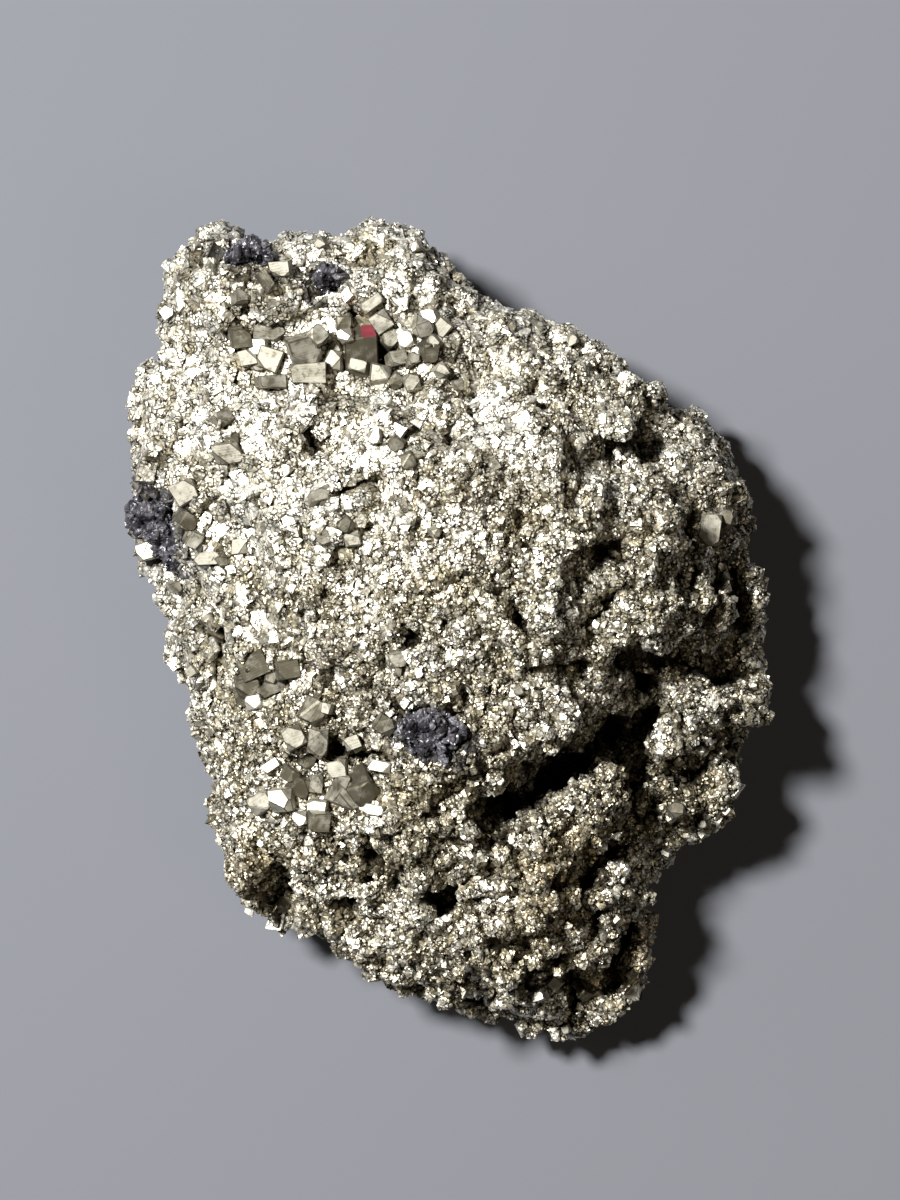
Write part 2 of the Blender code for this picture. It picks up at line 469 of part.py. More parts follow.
def main():
    """Builds the specimen."""
    clear_scene()
    pyrite = make_material("pyrite", PYRITE, 1.0, 0.3)
    dark = make_material("dark_mineral", DARK_MINERAL, 0.3, 0.45)
    mass = make_mass(pyrite)
    crystals = make_crystals(mass, pyrite)
    cutters = [make_dark_lump(mass, row, dark) for row in DARK_LUMPS]
    grown = mass.modifiers.new("Crystals", "BOOLEAN")
    grown.operation = "UNION"
    grown.operand_type = "COLLECTION"
    grown.collection = crystals
    for cutter in cutters:
        socket = mass.modifiers.new(cutter.name, "BOOLEAN")
        socket.operation = "DIFFERENCE"
        socket.object = cutter
    centre_on_origin(mass)


main()
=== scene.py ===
import logging
import math
import random
from dataclasses import dataclass, field
from enum import Enum

import bmesh
import bpy
import numpy as np
from mathutils import Euler, Matrix, Vector, noise
from mathutils.bvhtree import BVHTree
from mathutils.kdtree import KDTree


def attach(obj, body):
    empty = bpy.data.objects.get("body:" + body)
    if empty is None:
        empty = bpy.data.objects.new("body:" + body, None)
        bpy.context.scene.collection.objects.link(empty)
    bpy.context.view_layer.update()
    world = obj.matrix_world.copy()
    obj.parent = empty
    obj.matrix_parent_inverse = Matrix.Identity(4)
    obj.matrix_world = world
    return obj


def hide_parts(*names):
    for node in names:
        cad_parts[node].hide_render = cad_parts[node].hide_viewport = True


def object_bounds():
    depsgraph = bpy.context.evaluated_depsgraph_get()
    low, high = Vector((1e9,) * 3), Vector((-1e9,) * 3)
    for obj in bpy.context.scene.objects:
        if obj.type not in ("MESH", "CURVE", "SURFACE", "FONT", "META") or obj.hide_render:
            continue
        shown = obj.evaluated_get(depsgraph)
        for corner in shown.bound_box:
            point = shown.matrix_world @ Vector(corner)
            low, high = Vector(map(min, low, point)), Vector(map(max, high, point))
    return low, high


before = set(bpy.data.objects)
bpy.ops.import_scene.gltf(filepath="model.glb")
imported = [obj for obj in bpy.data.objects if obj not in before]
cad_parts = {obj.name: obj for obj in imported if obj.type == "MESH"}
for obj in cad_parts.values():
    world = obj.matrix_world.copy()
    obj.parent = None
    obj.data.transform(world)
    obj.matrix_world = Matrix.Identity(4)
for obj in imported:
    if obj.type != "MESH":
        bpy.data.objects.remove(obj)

logging.basicConfig(level=logging.INFO, format="%(message)s")
log = logging.getLogger("specimen")

CAD_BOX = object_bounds()
MM = 0.001
HAIR = 0.02 * MM
ROOT = "root"

# The noise takes its seed from the clock unless it is given one. Its own values reach about 0.6 either way,
# which NOISE_STRETCH brings to about 1. WARP_SCALE is how fine the bends of the cells are, and CELL_JUMP
# keeps the random ways of neighbouring cells apart.
NOISE_SEED = 7
NOISE_STRETCH = 1.6
WARP_SCALE = 0.8
CELL_JUMP = 9.7

# Plan places are millimetres as they line up with the girth, seen from above. The crown lies nearer the eye,
# so its places are drawn in. PLAN_SHIFT brings the plan's own middle to the frame's.
PLAN_SHIFT = (-0.104, -0.914)
GIRTH_HEIGHT = 12.5
CROWN_DRAW_IN = 0.957
CROWN_RISE = 20.0


def drawn_in(x: float, y: float, height: float) -> tuple[float, float]:
    """Gives the frame's place of a plan place.

    Args:
        x: Plan place to the right, in millimetres.
        y: Plan place up the long side, in millimetres.
        height: The height that it lies at, in millimetres.

    Returns:
        The place in the frame, in millimetres.
    """
    lift = min(max((height - GIRTH_HEIGHT) / CROWN_RISE, 0.0), 1.0)
    share = 1 - (1 - CROWN_DRAW_IN) * lift
    return x * share + PLAN_SHIFT[0], y * share + PLAN_SHIFT[1]


def to_plan(points: np.ndarray) -> np.ndarray:
    """Gives the plan places of points in the frame.

    Args:
        points: Rows of x, y, z in metres.

    Returns:
        Rows of plan x, y in millimetres.
    """
    flat = points / MM
    lift = np.clip((flat[:, 2] - GIRTH_HEIGHT) / CROWN_RISE, 0, 1)
    share = 1 - (1 - CROWN_DRAW_IN) * lift
    return (flat[:, :2] - np.array(PLAN_SHIFT)) / share[:, None]


def read_points(mesh: bpy.types.Mesh) -> np.ndarray:
    """Gives a mesh's vertices as rows of x, y, z."""
    points = np.empty(len(mesh.vertices) * 3, np.float32)
    mesh.vertices.foreach_get("co", points)
    return points.reshape(-1, 3).astype(float)


def write_points(mesh: bpy.types.Mesh, points: np.ndarray) -> None:
    """Puts rows of x, y, z into a mesh's vertices."""
    mesh.vertices.foreach_set("co", points.astype(np.float32).ravel())
    mesh.update()


def read_normals(mesh: bpy.types.Mesh) -> np.ndarray:
    """Gives the normals of a mesh's vertices as rows of x, y, z."""
    normals = np.empty(len(mesh.vertices) * 3, np.float32)
    mesh.vertex_normals.foreach_get("vector", normals)
    return normals.reshape(-1, 3).astype(float)


def write_values(mesh: bpy.types.Mesh, name: str, values: np.ndarray) -> None:
    """Gives a mesh's vertices a named value each, which its finish reads."""
    layer = mesh.attributes.get(name) or mesh.attributes.new(name, "FLOAT", "POINT")
    layer.data.foreach_set("value", values.astype(np.float32))


def read_values(mesh: bpy.types.Mesh, name: str) -> np.ndarray:
    """Gives back the values that write_values put on a mesh."""
    values = np.empty(len(mesh.vertices), np.float32)
    mesh.attributes[name].data.foreach_get("value", values)
    return values.astype(float)


def merged(node: str) -> bmesh.types.BMesh:
    """Copies one of the solids, with its doubles merged."""
    shape = bmesh.new()
    shape.from_mesh(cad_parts[node].data)
    bmesh.ops.remove_doubles(shape, verts=shape.verts, dist=1e-6)
    return shape


def meshed(shape: bmesh.types.BMesh, name: str) -> bpy.types.Mesh:
    """Turns a bmesh into a mesh of that name, and frees the bmesh."""
    mesh = bpy.data.meshes.new(name)
    shape.to_mesh(mesh)
    shape.free()
    return mesh


def shown(name: str, mesh: bpy.types.Mesh) -> bpy.types.Object:
    """Puts a mesh in the scene as an object of that name.

    Args:
        name: The piece's name.
        mesh: Its mesh, with its place in it.

    Returns:
        The new object.
    """
    thing = bpy.data.objects.new(name, mesh)
    bpy.context.scene.collection.objects.link(thing)
    return thing


def evened(piece: bpy.types.Object, voxel: float) -> None:
    """Gives a piece a modifier that makes its faces all about one size, in millimetres."""
    remesh = piece.modifiers.new("Even cells", "REMESH")
    remesh.mode = "VOXEL"
    remesh.voxel_size = voxel * MM


def applied(piece: bpy.types.Object) -> None:
    """Turns a piece's modifiers into its mesh."""
    evaluated = piece.evaluated_get(bpy.context.evaluated_depsgraph_get())
    piece.data = bpy.data.meshes.new_from_object(evaluated)
    piece.modifiers.clear()
    piece.data.name = piece.name


def kept_in_box(points: np.ndarray) -> np.ndarray:
    """Holds points inside the CAD model's box and above the table.

    Args:
        points: Rows of x, y, z in metres.

    Returns:
        The same rows, none outside the box.
    """
    low, high = (np.array(corner, float) for corner in CAD_BOX)
    return np.clip(points, low + HAIR, high - HAIR)


def rippled(points: np.ndarray, wavelength: float, seed: float) -> np.ndarray:
    """Gives smooth noise at points.

    Args:
        points: Rows of x, y, z in metres.
        wavelength: The size of its lumps, in millimetres.
        seed: Where in the noise the points start.

    Returns:
        A value of about -1 to 1 for each row.
    """
    spots = points / (wavelength * MM) + seed
    return np.array([noise.noise(Vector(spot)) for spot in spots]) * NOISE_STRETCH


@dataclass(frozen=True)
class Cells:
    """Where points lie in irregular cells.

    Args:
        middle: How far each lies from its cell's middle, in cells.
        border: How far each lies from its cell's border, in cells.
        tilt: How high each lies on a plane through its cell's middle that leans a random way, in cells.
    """

    middle: np.ndarray
    border: np.ndarray
    tilt: np.ndarray


def celled(points: np.ndarray, wavelength: float, seed: float, warp: float = 0.45) -> Cells:
    """Sorts points into irregular cells.

    Args:
        points: Rows of x, y, z in metres.
        wavelength: The size of a cell, in millimetres.
        seed: Where in the pattern the points start.
        warp: How far the cells are bent, in cells.

    Returns:
        Where each lies in its cell.
    """
    found = np.empty((len(points), 3))
    for row, spot in enumerate(points / (wavelength * MM) + seed):
        place = Vector(spot)
        bent = place + warp * noise.noise_vector(place * WARP_SCALE)
        near, middles = noise.voronoi(bent)
        way = noise.cell_vector(middles[0] * CELL_JUMP)
        found[row] = near[0], near[1] - near[0], (bent - middles[0]).dot(way)
    return Cells(*found.T)


def turned(plan: np.ndarray, x: float, y: float, turn: float) -> tuple[np.ndarray, np.ndarray]:
    """Gives plan places as seen from a centre.

    Args:
        plan: Rows of plan x, y.
        x: The centre's x.
        y: The centre's y.
        turn: The direction that counts as along, in degrees.

    Returns:
        How far each place lies along that direction and across it.
    """
    along, across = math.cos(math.radians(turn)), math.sin(math.radians(turn))
    away = plan - np.array((x, y))
    return away[:, 0] * along + away[:, 1] * across, away[:, 1] * along - away[:, 0] * across


class Grown(Enum):
    """The ways in which the fine grain has grown."""

    PLATY = "platy"
    SUGARY = "sugary"
    BEADY = "beady"
    SPARSE = "sparse"


@dataclass(frozen=True)
class Habit:
    """How the grains of one kind are shaped and laid.

    Args:
        spacing: How far apart neighbours lie, in millimetres.
        size: Their middle size, in millimetres.
        spread: How much sizes differ, as a share.
        flatness: Thickness over width.
        lean: How far they lean from lying along the surface, in degrees.
        proud: The share of the size that the middle stands over the surface.
        ragged: How far corners stray, as a share of the size.
        shares: How many of the grains are wedges, cubes, clipped cubes and beads.
        slant: How far they all lean to the left, as the tangent of the angle.
        level: How far those on slopes turn level, from 0 to 1.
    """

    spacing: float
    size: float
    spread: float
    flatness: float
    lean: float
    proud: float
    ragged: float
    shares: tuple[float, float, float, float]
    slant: float = 0.0
    level: float = 0.0


HABITS: dict[Grown, Habit] = {
    Grown.PLATY: Habit(0.50, 0.90, 0.45, 0.45, 14, -0.02, 0.12, (0.15, 0.45, 0.40, 0.0), 0.12, 0.20),
    Grown.SUGARY: Habit(0.34, 0.45, 0.36, 0.85, 22, 0.05, 0.10, (0.15, 0.40, 0.35, 0.10), 0.0, 0.15),
    Grown.BEADY: Habit(0.36, 0.46, 0.40, 0.95, 30, 0.08, 0.06, (0.05, 0.20, 0.40, 0.35), 0.0, 0.40),
    Grown.SPARSE: Habit(0.86, 1.18, 0.26, 0.70, 34, 0.0, 0.12, (0.30, 0.40, 0.30, 0.0)),
}


class Nodes:
    """A material's node tree, with a method for each kind of node that the finishes use."""

    def __init__(self, name: str) -> None:
        """Makes a new material.

        Args:
            name: The material's name.
        """
        self.material = bpy.data.materials.new(name)
        self.material.use_nodes = True
        self.tree = self.material.node_tree
        self.shader = self.tree.nodes["Principled BSDF"]
        self.place = self.tree.nodes.new("ShaderNodeTexCoord").outputs["Object"]

    def link(self, source: bpy.types.NodeSocket, socket: bpy.types.NodeSocket) -> None:
        """Links an output to an input."""
        self.tree.links.new(source, socket)

    def attribute(self, name: str) -> bpy.types.NodeSocket:
        """Reads a named value of the mesh."""
        node = self.tree.nodes.new("ShaderNodeAttribute")
        node.attribute_name = name
        return node.outputs["Fac"]

    def mix(
        self, factor: bpy.types.NodeSocket,
        low: bpy.types.NodeSocket | tuple[float, float, float],
        high: bpy.types.NodeSocket | tuple[float, float, float],
    ) -> bpy.types.NodeSocket:
        """Mixes two colours.

        Args:
            factor: The share of the high colour.
            low: Colour or socket at factor 0.
            high: Colour or socket at factor 1.

        Returns:
            The mixed colour's socket.
        """
        node = self.tree.nodes.new("ShaderNodeMix")
        node.data_type = "RGBA"
        self.link(factor, node.inputs["Factor"])
        for number, colour in ((6, low), (7, high)):
            if isinstance(colour, tuple):
                node.inputs[number].default_value = (*colour, 1)
            else:
                self.link(colour, node.inputs[number])
        return node.outputs[2]

    def noise(
        self, scale: float, detail: float, place: bpy.types.NodeSocket | None = None
    ) -> bpy.types.NodeSocket:
        """Adds a noise texture.

        Args:
            scale: Its lumps per metre.
            detail: How many finer layers it has.
            place: The coordinates, which are the object's by default.

        Returns:
            The noise's value.
        """
        node = self.tree.nodes.new("ShaderNodeTexNoise")
        node.inputs["Scale"].default_value = scale
        node.inputs["Detail"].default_value = detail
        self.link(place or self.place, node.inputs["Vector"])
        return node.outputs["Fac"]

    def cells(self, scale: float, place: bpy.types.NodeSocket, feature: str = "F1") -> bpy.types.Node:
        """Adds irregular cells.

        Args:
            scale: How many there are per metre.
            place: The coordinates.
            feature: What it measures: the way to the middle, F1, or DISTANCE_TO_EDGE.

        Returns:
            The node, which gives the distance and each cell's random colour.
        """
        node = self.tree.nodes.new("ShaderNodeTexVoronoi")
        node.feature = feature
        node.inputs["Scale"].default_value = scale
        self.link(place, node.inputs["Vector"])
        return node

    def strayed(
        self, start: bpy.types.NodeSocket, colour: bpy.types.NodeSocket, reach: float
    ) -> bpy.types.NodeSocket:
        """Moves a vector in the way that a random colour says.

        Args:
            start: The vector.
            colour: The random colour, whose middle grey moves nothing.
            reach: How far the brightest colour moves it.

        Returns:
            The moved vector's socket.
        """
        centred = self.tree.nodes.new("ShaderNodeVectorMath")
        centred.operation = "SUBTRACT"
        centred.inputs[1].default_value = (0.5, 0.5, 0.5)
        self.link(colour, centred.inputs[0])
        scaled = self.tree.nodes.new("ShaderNodeVectorMath")
        scaled.operation = "SCALE"
        scaled.inputs["Scale"].default_value = reach
        self.link(centred.outputs["Vector"], scaled.inputs[0])
        moved = self.tree.nodes.new("ShaderNodeVectorMath")
        moved.operation = "ADD"
        self.link(scaled.outputs["Vector"], moved.inputs[0])
        self.link(start, moved.inputs[1])
        return moved.outputs["Vector"]

    def bent(self, scale: float, reach: float) -> bpy.types.NodeSocket:
        """Bends the object's coordinates, so that cells on them have crooked borders.

        Args:
            scale: The bends per metre.
            reach: How far they reach, in metres.

        Returns:
            The bent coordinates' socket.
        """
        node = self.tree.nodes.new("ShaderNodeTexNoise")
        node.inputs["Scale"].default_value = scale
        node.inputs["Detail"].default_value = 2.0
        self.link(self.place, node.inputs["Vector"])
        return self.strayed(self.place, node.outputs["Color"], reach)

    def channel(self, colour: bpy.types.NodeSocket, name: str) -> bpy.types.NodeSocket:
        """Takes one channel of a colour."""
        node = self.tree.nodes.new("ShaderNodeSeparateColor")
        self.link(colour, node.inputs["Color"])
        return node.outputs[name]

    def ramp(
        self, value: bpy.types.NodeSocket, start: float, end: float, low: float, high: float
    ) -> bpy.types.NodeSocket:
        """Brings a value from one range to another.

        Args:
            value: The value.
            start: Where the range starts.
            end: Where it ends.
            low: What start becomes.
            high: What end becomes.

        Returns:
            The new value's socket.
        """
        node = self.tree.nodes.new("ShaderNodeMapRange")
        for name, number in (("From Min", start), ("From Max", end), ("To Min", low), ("To Max", high)):
            node.inputs[name].default_value = number
        self.link(value, node.inputs["Value"])
        return node.outputs["Result"]

    def math(
        self, operation: str, value: bpy.types.NodeSocket, other: bpy.types.NodeSocket | float
    ) -> bpy.types.NodeSocket:
        """Works out a value from two others.

        Args:
            operation: The node's name for what it does, such as ADD.
            value: The first value.
            other: The second value.

        Returns:
            The result's socket.
        """
        node = self.tree.nodes.new("ShaderNodeMath")
        node.operation = operation
        self.link(value, node.inputs[0])
        if isinstance(other, float):
            node.inputs[1].default_value = other
        else:
            self.link(other, node.inputs[1])
        return node.outputs[0]

    def flakes(self, colour: bpy.types.NodeSocket, tilt: float) -> bpy.types.NodeSocket:
        """Leans the surface a different way in each cell, as tiny facets do.

        Args:
            colour: The cells' random colours.
            tilt: How far the facets lean.

        Returns:
            The new normal's socket.
        """
        unit = self.tree.nodes.new("ShaderNodeVectorMath")
        unit.operation = "NORMALIZE"
        facing = self.tree.nodes.new("ShaderNodeNewGeometry").outputs["Normal"]
        self.link(self.strayed(facing, colour, tilt), unit.inputs[0])
        return unit.outputs["Vector"]

    def bump(
        self, height: bpy.types.NodeSocket, strength: float, distance: float,
        normal: bpy.types.NodeSocket | None = None,
    ) -> bpy.types.NodeSocket:
        """Adds fine relief.

        Args:
            height: Its height, from 0 to 1.
            strength: How strong it is.
            distance: How high it is, in metres.
            normal: The normal under it.

        Returns:
            The new normal's socket.
        """
        node = self.tree.nodes.new("ShaderNodeBump")
        node.inputs["Strength"].default_value = strength
        node.inputs["Distance"].default_value = distance
        self.link(height, node.inputs["Height"])
        if normal:
            self.link(normal, node.inputs["Normal"])
        return node.outputs["Normal"]


@dataclass(frozen=True)
class GrainFinish:
    """The metallic finish of the fine grain and the ground under it.

    Args:
        name: The material's name.
        pale: Colour of the palest grains.
        deep: Colour of the deepest grains.
        grime_and_shade: Colour of what lies between the grains.
        rough: Roughness of the smoothest and of the roughest facets.
        tilt: How far the finest facets lean.
        rust: Colour of iron stain.
        shade: Colour of grains that the dark mineral tints.
        facets: The finest facets per metre.
        joint: Half width of the dark joints between them, in facets.
        metallic: How metallic it is, as the finest grain scatters some light evenly.
    """

    name: str
    pale: tuple[float, float, float]
    deep: tuple[float, float, float]
    grime_and_shade: tuple[float, float, float]
    rough: tuple[float, float]
    tilt: float
    rust: tuple[float, float, float] = (0.42, 0.30, 0.13)
    shade: tuple[float, float, float] = (0.12, 0.118, 0.135)
    facets: float = 2150.0
    joint: float = 0.20
    metallic: float = 0.88

    def material(self) -> bpy.types.Material:
        """Builds the material, which reads the tone, stain, gloom and painted shade of the mesh."""
        nodes = Nodes(self.name)
        nodes.shader.inputs["Metallic"].default_value = self.metallic
        metal = nodes.mix(nodes.attribute("tone"), self.deep, self.pale)
        rusty = nodes.mix(nodes.attribute("stain"), metal, self.rust)
        gloomy = nodes.mix(nodes.attribute("gloom"), rusty, self.shade)
        bent = nodes.bent(1700.0, 0.0005)
        border = nodes.cells(self.facets, bent, "DISTANCE_TO_EDGE").outputs["Distance"]
        joint = nodes.ramp(border, 0.25 * self.joint, self.joint, 1.0, 0.0)
        gaps = nodes.ramp(nodes.noise(1100.0, 2.0), 0.36, 0.56, 0.35, 1.0)
        # Dark joints between facets, and painted shade from the mesh's gap depth and grain feet.
        joints_and_shade = nodes.math("MAXIMUM", nodes.math("MULTIPLY", joint, gaps), nodes.attribute("grime_and_shade"))
        nodes.link(nodes.mix(joints_and_shade, gloomy, self.grime_and_shade), nodes.shader.inputs["Base Color"])

        cells = nodes.cells(self.facets, bent).outputs
        polish = nodes.channel(cells["Color"], "Red")
        nodes.link(nodes.ramp(polish, 0.0, 1.0, *self.rough), nodes.shader.inputs["Roughness"])
        dome = nodes.ramp(cells["Distance"], 0.0, 0.8, 1.0, 0.0)
        domed = nodes.bump(dome, 0.6, 0.00012, nodes.flakes(cells["Color"], self.tilt))
        nodes.link(domed, nodes.shader.inputs["Normal"])
        return nodes.material


@dataclass(frozen=True)
class CrystalFinish:
    """The finish of the large crystals: smooth metallic faces with growth lines.

    Args:
        name: The material's name.
        pale: Colour of the palest faces: fresh faces, and faces painted as lit.
        deep: Colour of the deepest faces: tarnished faces, and faces painted as shaded.
        line: Spacing of the growth lines, in millimetres.
    """

    name: str
    pale: tuple[float, float, float]
    deep: tuple[float, float, float]
    line: float = 0.26

    def material(self) -> bpy.types.Material:
        """Builds the material, which reads the tone, the dullness and the stripe of the mesh."""
        nodes = Nodes(self.name)
        nodes.shader.inputs["Metallic"].default_value = 0.92
        cloud = nodes.noise(900.0, 4.0)
        across = nodes.math("MULTIPLY", nodes.attribute("stripe"), math.tau / self.line)
        bent = nodes.math("ADD", across, nodes.ramp(nodes.noise(420.0, 3.0), 0.0, 1.0, -9.0, 9.0))
        lines = nodes.ramp(nodes.math("SINE", bent, 0.0), -1.0, 1.0, 0.0, 1.0)
        worn = nodes.math("ADD", nodes.attribute("tone"), nodes.ramp(cloud, 0.3, 0.7, -0.20, 0.20))
        lined = nodes.math("ADD", worn, nodes.ramp(lines, 0.0, 0.5, -0.04, 0.0))
        specked = nodes.math("ADD", lined, nodes.ramp(nodes.noise(2300.0, 2.0), 0.54, 0.70, 0.0, -0.22))
        nodes.link(nodes.mix(specked, self.deep, self.pale), nodes.shader.inputs["Base Color"])
        dull = nodes.math("ADD", nodes.attribute("dullness"), nodes.ramp(cloud, 0.3, 0.7, -0.07, 0.07))
        nodes.link(dull, nodes.shader.inputs["Roughness"])

        grooves = nodes.bump(lines, 0.25, 0.00002)
        pits = nodes.bump(nodes.noise(2600.0, 4.0), 0.35, 0.00005, grooves)
        nodes.link(pits, nodes.shader.inputs["Normal"])
        return nodes.material


@dataclass(frozen=True)
class DarkFinish:
    """The finish of the dark mineral: near black, with submetallic glints.

    Args:
        name: The material's name.
        colour: Colour of most facets.
        glint: Colour of the brightest facets.
    """

    name: str = "dark mineral"
    colour: tuple[float, float, float] = (0.020, 0.019, 0.022)
    glint: tuple[float, float, float] = (0.215, 0.205, 0.225)

    def material(self) -> bpy.types.Material:
        """Builds the material on Object coordinates."""
        nodes = Nodes(self.name)
        nodes.shader.inputs["Metallic"].default_value = 0.55
        facets = nodes.cells(1900.0, nodes.place).outputs["Color"]
        patchy = nodes.ramp(nodes.noise(520.0, 2.0), 0.40, 0.62, 0.0, 1.0)
        sheen = nodes.ramp(nodes.channel(facets, "Red"), 0.1, 0.9, 0.1, 1.0)
        bright = nodes.math("MULTIPLY", sheen, patchy)
        nodes.link(nodes.mix(bright, self.colour, self.glint), nodes.shader.inputs["Base Color"])
        dull = nodes.ramp(nodes.channel(facets, "Green"), 0.0, 1.0, 0.26, 0.62)
        nodes.link(dull, nodes.shader.inputs["Roughness"])
        pitted = nodes.bump(nodes.noise(2600.0, 4.0), 0.6, 0.0001, nodes.flakes(facets, 0.55))
        nodes.link(pitted, nodes.shader.inputs["Normal"])
        return nodes.material


GRAIN_FINISH = GrainFinish(
    "pyrite grain", (0.94, 0.91, 0.80), (0.45, 0.40, 0.28), (0.020, 0.015, 0.008), (0.38, 0.66), 0.17
)
# The ground's colours are darker than the grain's, as painted shade in the gaps between grains.
GROUND_FINISH = GrainFinish(
    "pyrite ground", (0.34, 0.30, 0.21), (0.20, 0.17, 0.115), (0.012, 0.010, 0.006), (0.40, 0.62), 0.6
)
CRYSTAL_FINISH = CrystalFinish("pyrite crystal", (0.66, 0.635, 0.55), (0.11, 0.099, 0.070))
SEAM_FINISH = CrystalFinish("dark edge", (0.20, 0.18, 0.13), (0.06, 0.052, 0.036))
RED_FINISH = CrystalFinish("red tarnish", (0.50, 0.10, 0.13), (0.33, 0.065, 0.085))

# Crystals large enough to see from a step away: x, y, edge, length over edge, turn, how far the top leans to
# the right and up the long side, in degrees, and how bright it looks, from 0 to 3, which its tone partly
# paints as light and shade. The solid holds most of those in the first table.
CRYSTALS = (
    (-21.0, 30.5, 1.9, 1.0, 2, 14, -10, 0), (-18.3, 30.8, 1.4, 2.2, -8, 8, 22, 1),
    (-19.2, 29.6, 1.5, 1.2, 0, -12, 0, 3), (-20.2, 28.4, 1.5, 1.1, 12, -16, -6, 2),
    (-18.0, 28.3, 2.3, 1.0, -20, -30, -5, 2), (-14.5, 29.1, 2.9, 1.0, 18, 12, -14, 1),
    (-13.3, 30.6, 1.7, 1.0, 42, 20, 15, 1), (-14.2, 26.9, 1.9, 1.8, 3, -6, -12, 1),
    (-11.6, 28.2, 1.9, 1.0, -4, -16, -4, 2), (-9.0, 29.9, 2.5, 1.25, 8, 8, 52, 0),
    (-10.7, 32.0, 1.4, 1.0, 5, 12, -16, 0), (-6.8, 32.1, 2.0, 1.0, 35, -20, 8, 2),
    (-6.1, 30.6, 1.9, 1.0, 50, 16, -6, 0), (-4.3, 30.4, 1.5, 1.0, 18, -12, 0, 3),
    (-2.9, 31.4, 1.9, 1.0, 60, 10, -14, 1), (-2.0, 32.6, 1.5, 1.0, 20, -11, 3, 3),
    (-0.7, 31.5, 1.5, 1.0, 48, -15, 4, 2), (-2.0, 28.9, 1.4, 1.0, 2, 14, -10, 0),
    (-5.2, 28.4, 1.5, 1.1, 12, -8, 16, 1), (-7.0, 26.8, 2.1, 1.0, 80, -8, -10, 1),
    (-3.8, 26.0, 1.7, 1.0, 15, -5, 8, 1), (-1.0, 27.2, 1.4, 1.0, 33, -12, 0, 2),
    (-17.0, 37.5, 1.7, 1.4, 5, -12, 8, 2), (-21.0, 34.7, 1.4, 1.0, 4, -12, 0, 1),
    (-22.8, 22.4, 1.9, 1.0, 30, 10, 12, 1), (-22.3, 19.0, 2.6, 1.2, 12, 4, -4, 1),
    (-26.5, 15.0, 2.7, 1.0, 28, -6, 6, 2), (-25.5, 10.4, 1.7, 1.2, 65, 12, -14, 1),
    (-24.3, 8.4, 1.5, 2.0, 5, -14, -14, 2), (-26.2, 12.2, 1.8, 1.1, -32, 10, -10, 0),
    (-21.0, 9.6, 1.8, 1.0, 4, -12, 8, 2), (-22.8, 8.2, 1.4, 1.0, 40, 15, -10, 1),
    (-10.4, 11.8, 1.7, 1.0, 42, 10, -14, 0), (-9.8, 10.4, 1.7, 1.0, 10, -14, 8, 2),
    (-12.6, 10.6, 1.5, 1.0, 24, 12, -10, 1), (-7.5, 20.6, 1.5, 1.0, 12, -12, 8, 3),
    (-5.4, 19.9, 1.7, 1.0, 50, 14, -8, 0), (-4.2, 18.2, 1.7, 1.0, 20, 10, -14, 0),
    (-19.8, -2.2, 2.6, 1.3, 25, 12, -14, 0), (-20.2, -4.3, 2.2, 1.1, 20, 10, -12, 0),
    (-16.3, -2.8, 1.9, 1.1, 10, 14, -12, 0), (-19.6, -6.0, 1.5, 1.1, 10, -12, 0, 3),
    (-13.7, -6.9, 2.2, 1.1, 62, 14, -10, 0), (-13.2, -9.8, 1.9, 1.3, 88, -5, -8, 1),
    (-15.6, -9.5, 2.1, 1.0, 25, -18, 6, 2), (-11.2, -12.7, 1.7, 1.1, 6, -26, 4, 2),
    (-15.2, -14.4, 1.7, 1.0, -18, 14, -12, 0), (-16.7, -15.8, 2.3, 1.0, 5, -13, 0, 3),
    (-18.8, -16.1, 2.1, 1.0, 30, -15, 5, 2), (-10.3, -15.4, 2.1, 1.1, -24, 8, -12, 1),
    (-8.6, -14.8, 2.2, 1.2, 40, 16, -12, 0), (-10.7, -14.2, 1.4, 1.0, 15, -16, 6, 1),
    (-13.1, -18.0, 1.9, 1.0, -4, 5, -14, 0), (-5.2, -1.6, 1.7, 1.0, 15, -6, -12, 1),
    (-6.5, -8.3, 1.8, 1.0, 58, 12, -10, 0), (27.4, 12.2, 1.6, 1.0, 12, -12, 0, 0),
    (26.0, 11.2, 2.1, 1.4, 85, 10, 0, 2), (22.5, -16.8, 1.8, 1.0, 30, -12, 0, 0),
    (8.7, -35.3, 1.5, 1.0, 22, -12, 4, 3), (-30.2, 9.0, 2.2, 1.0, 15, -14, 0, 3),
    (-28.2, 33.0, 1.5, 1.0, 35, -14, 4, 3),
)
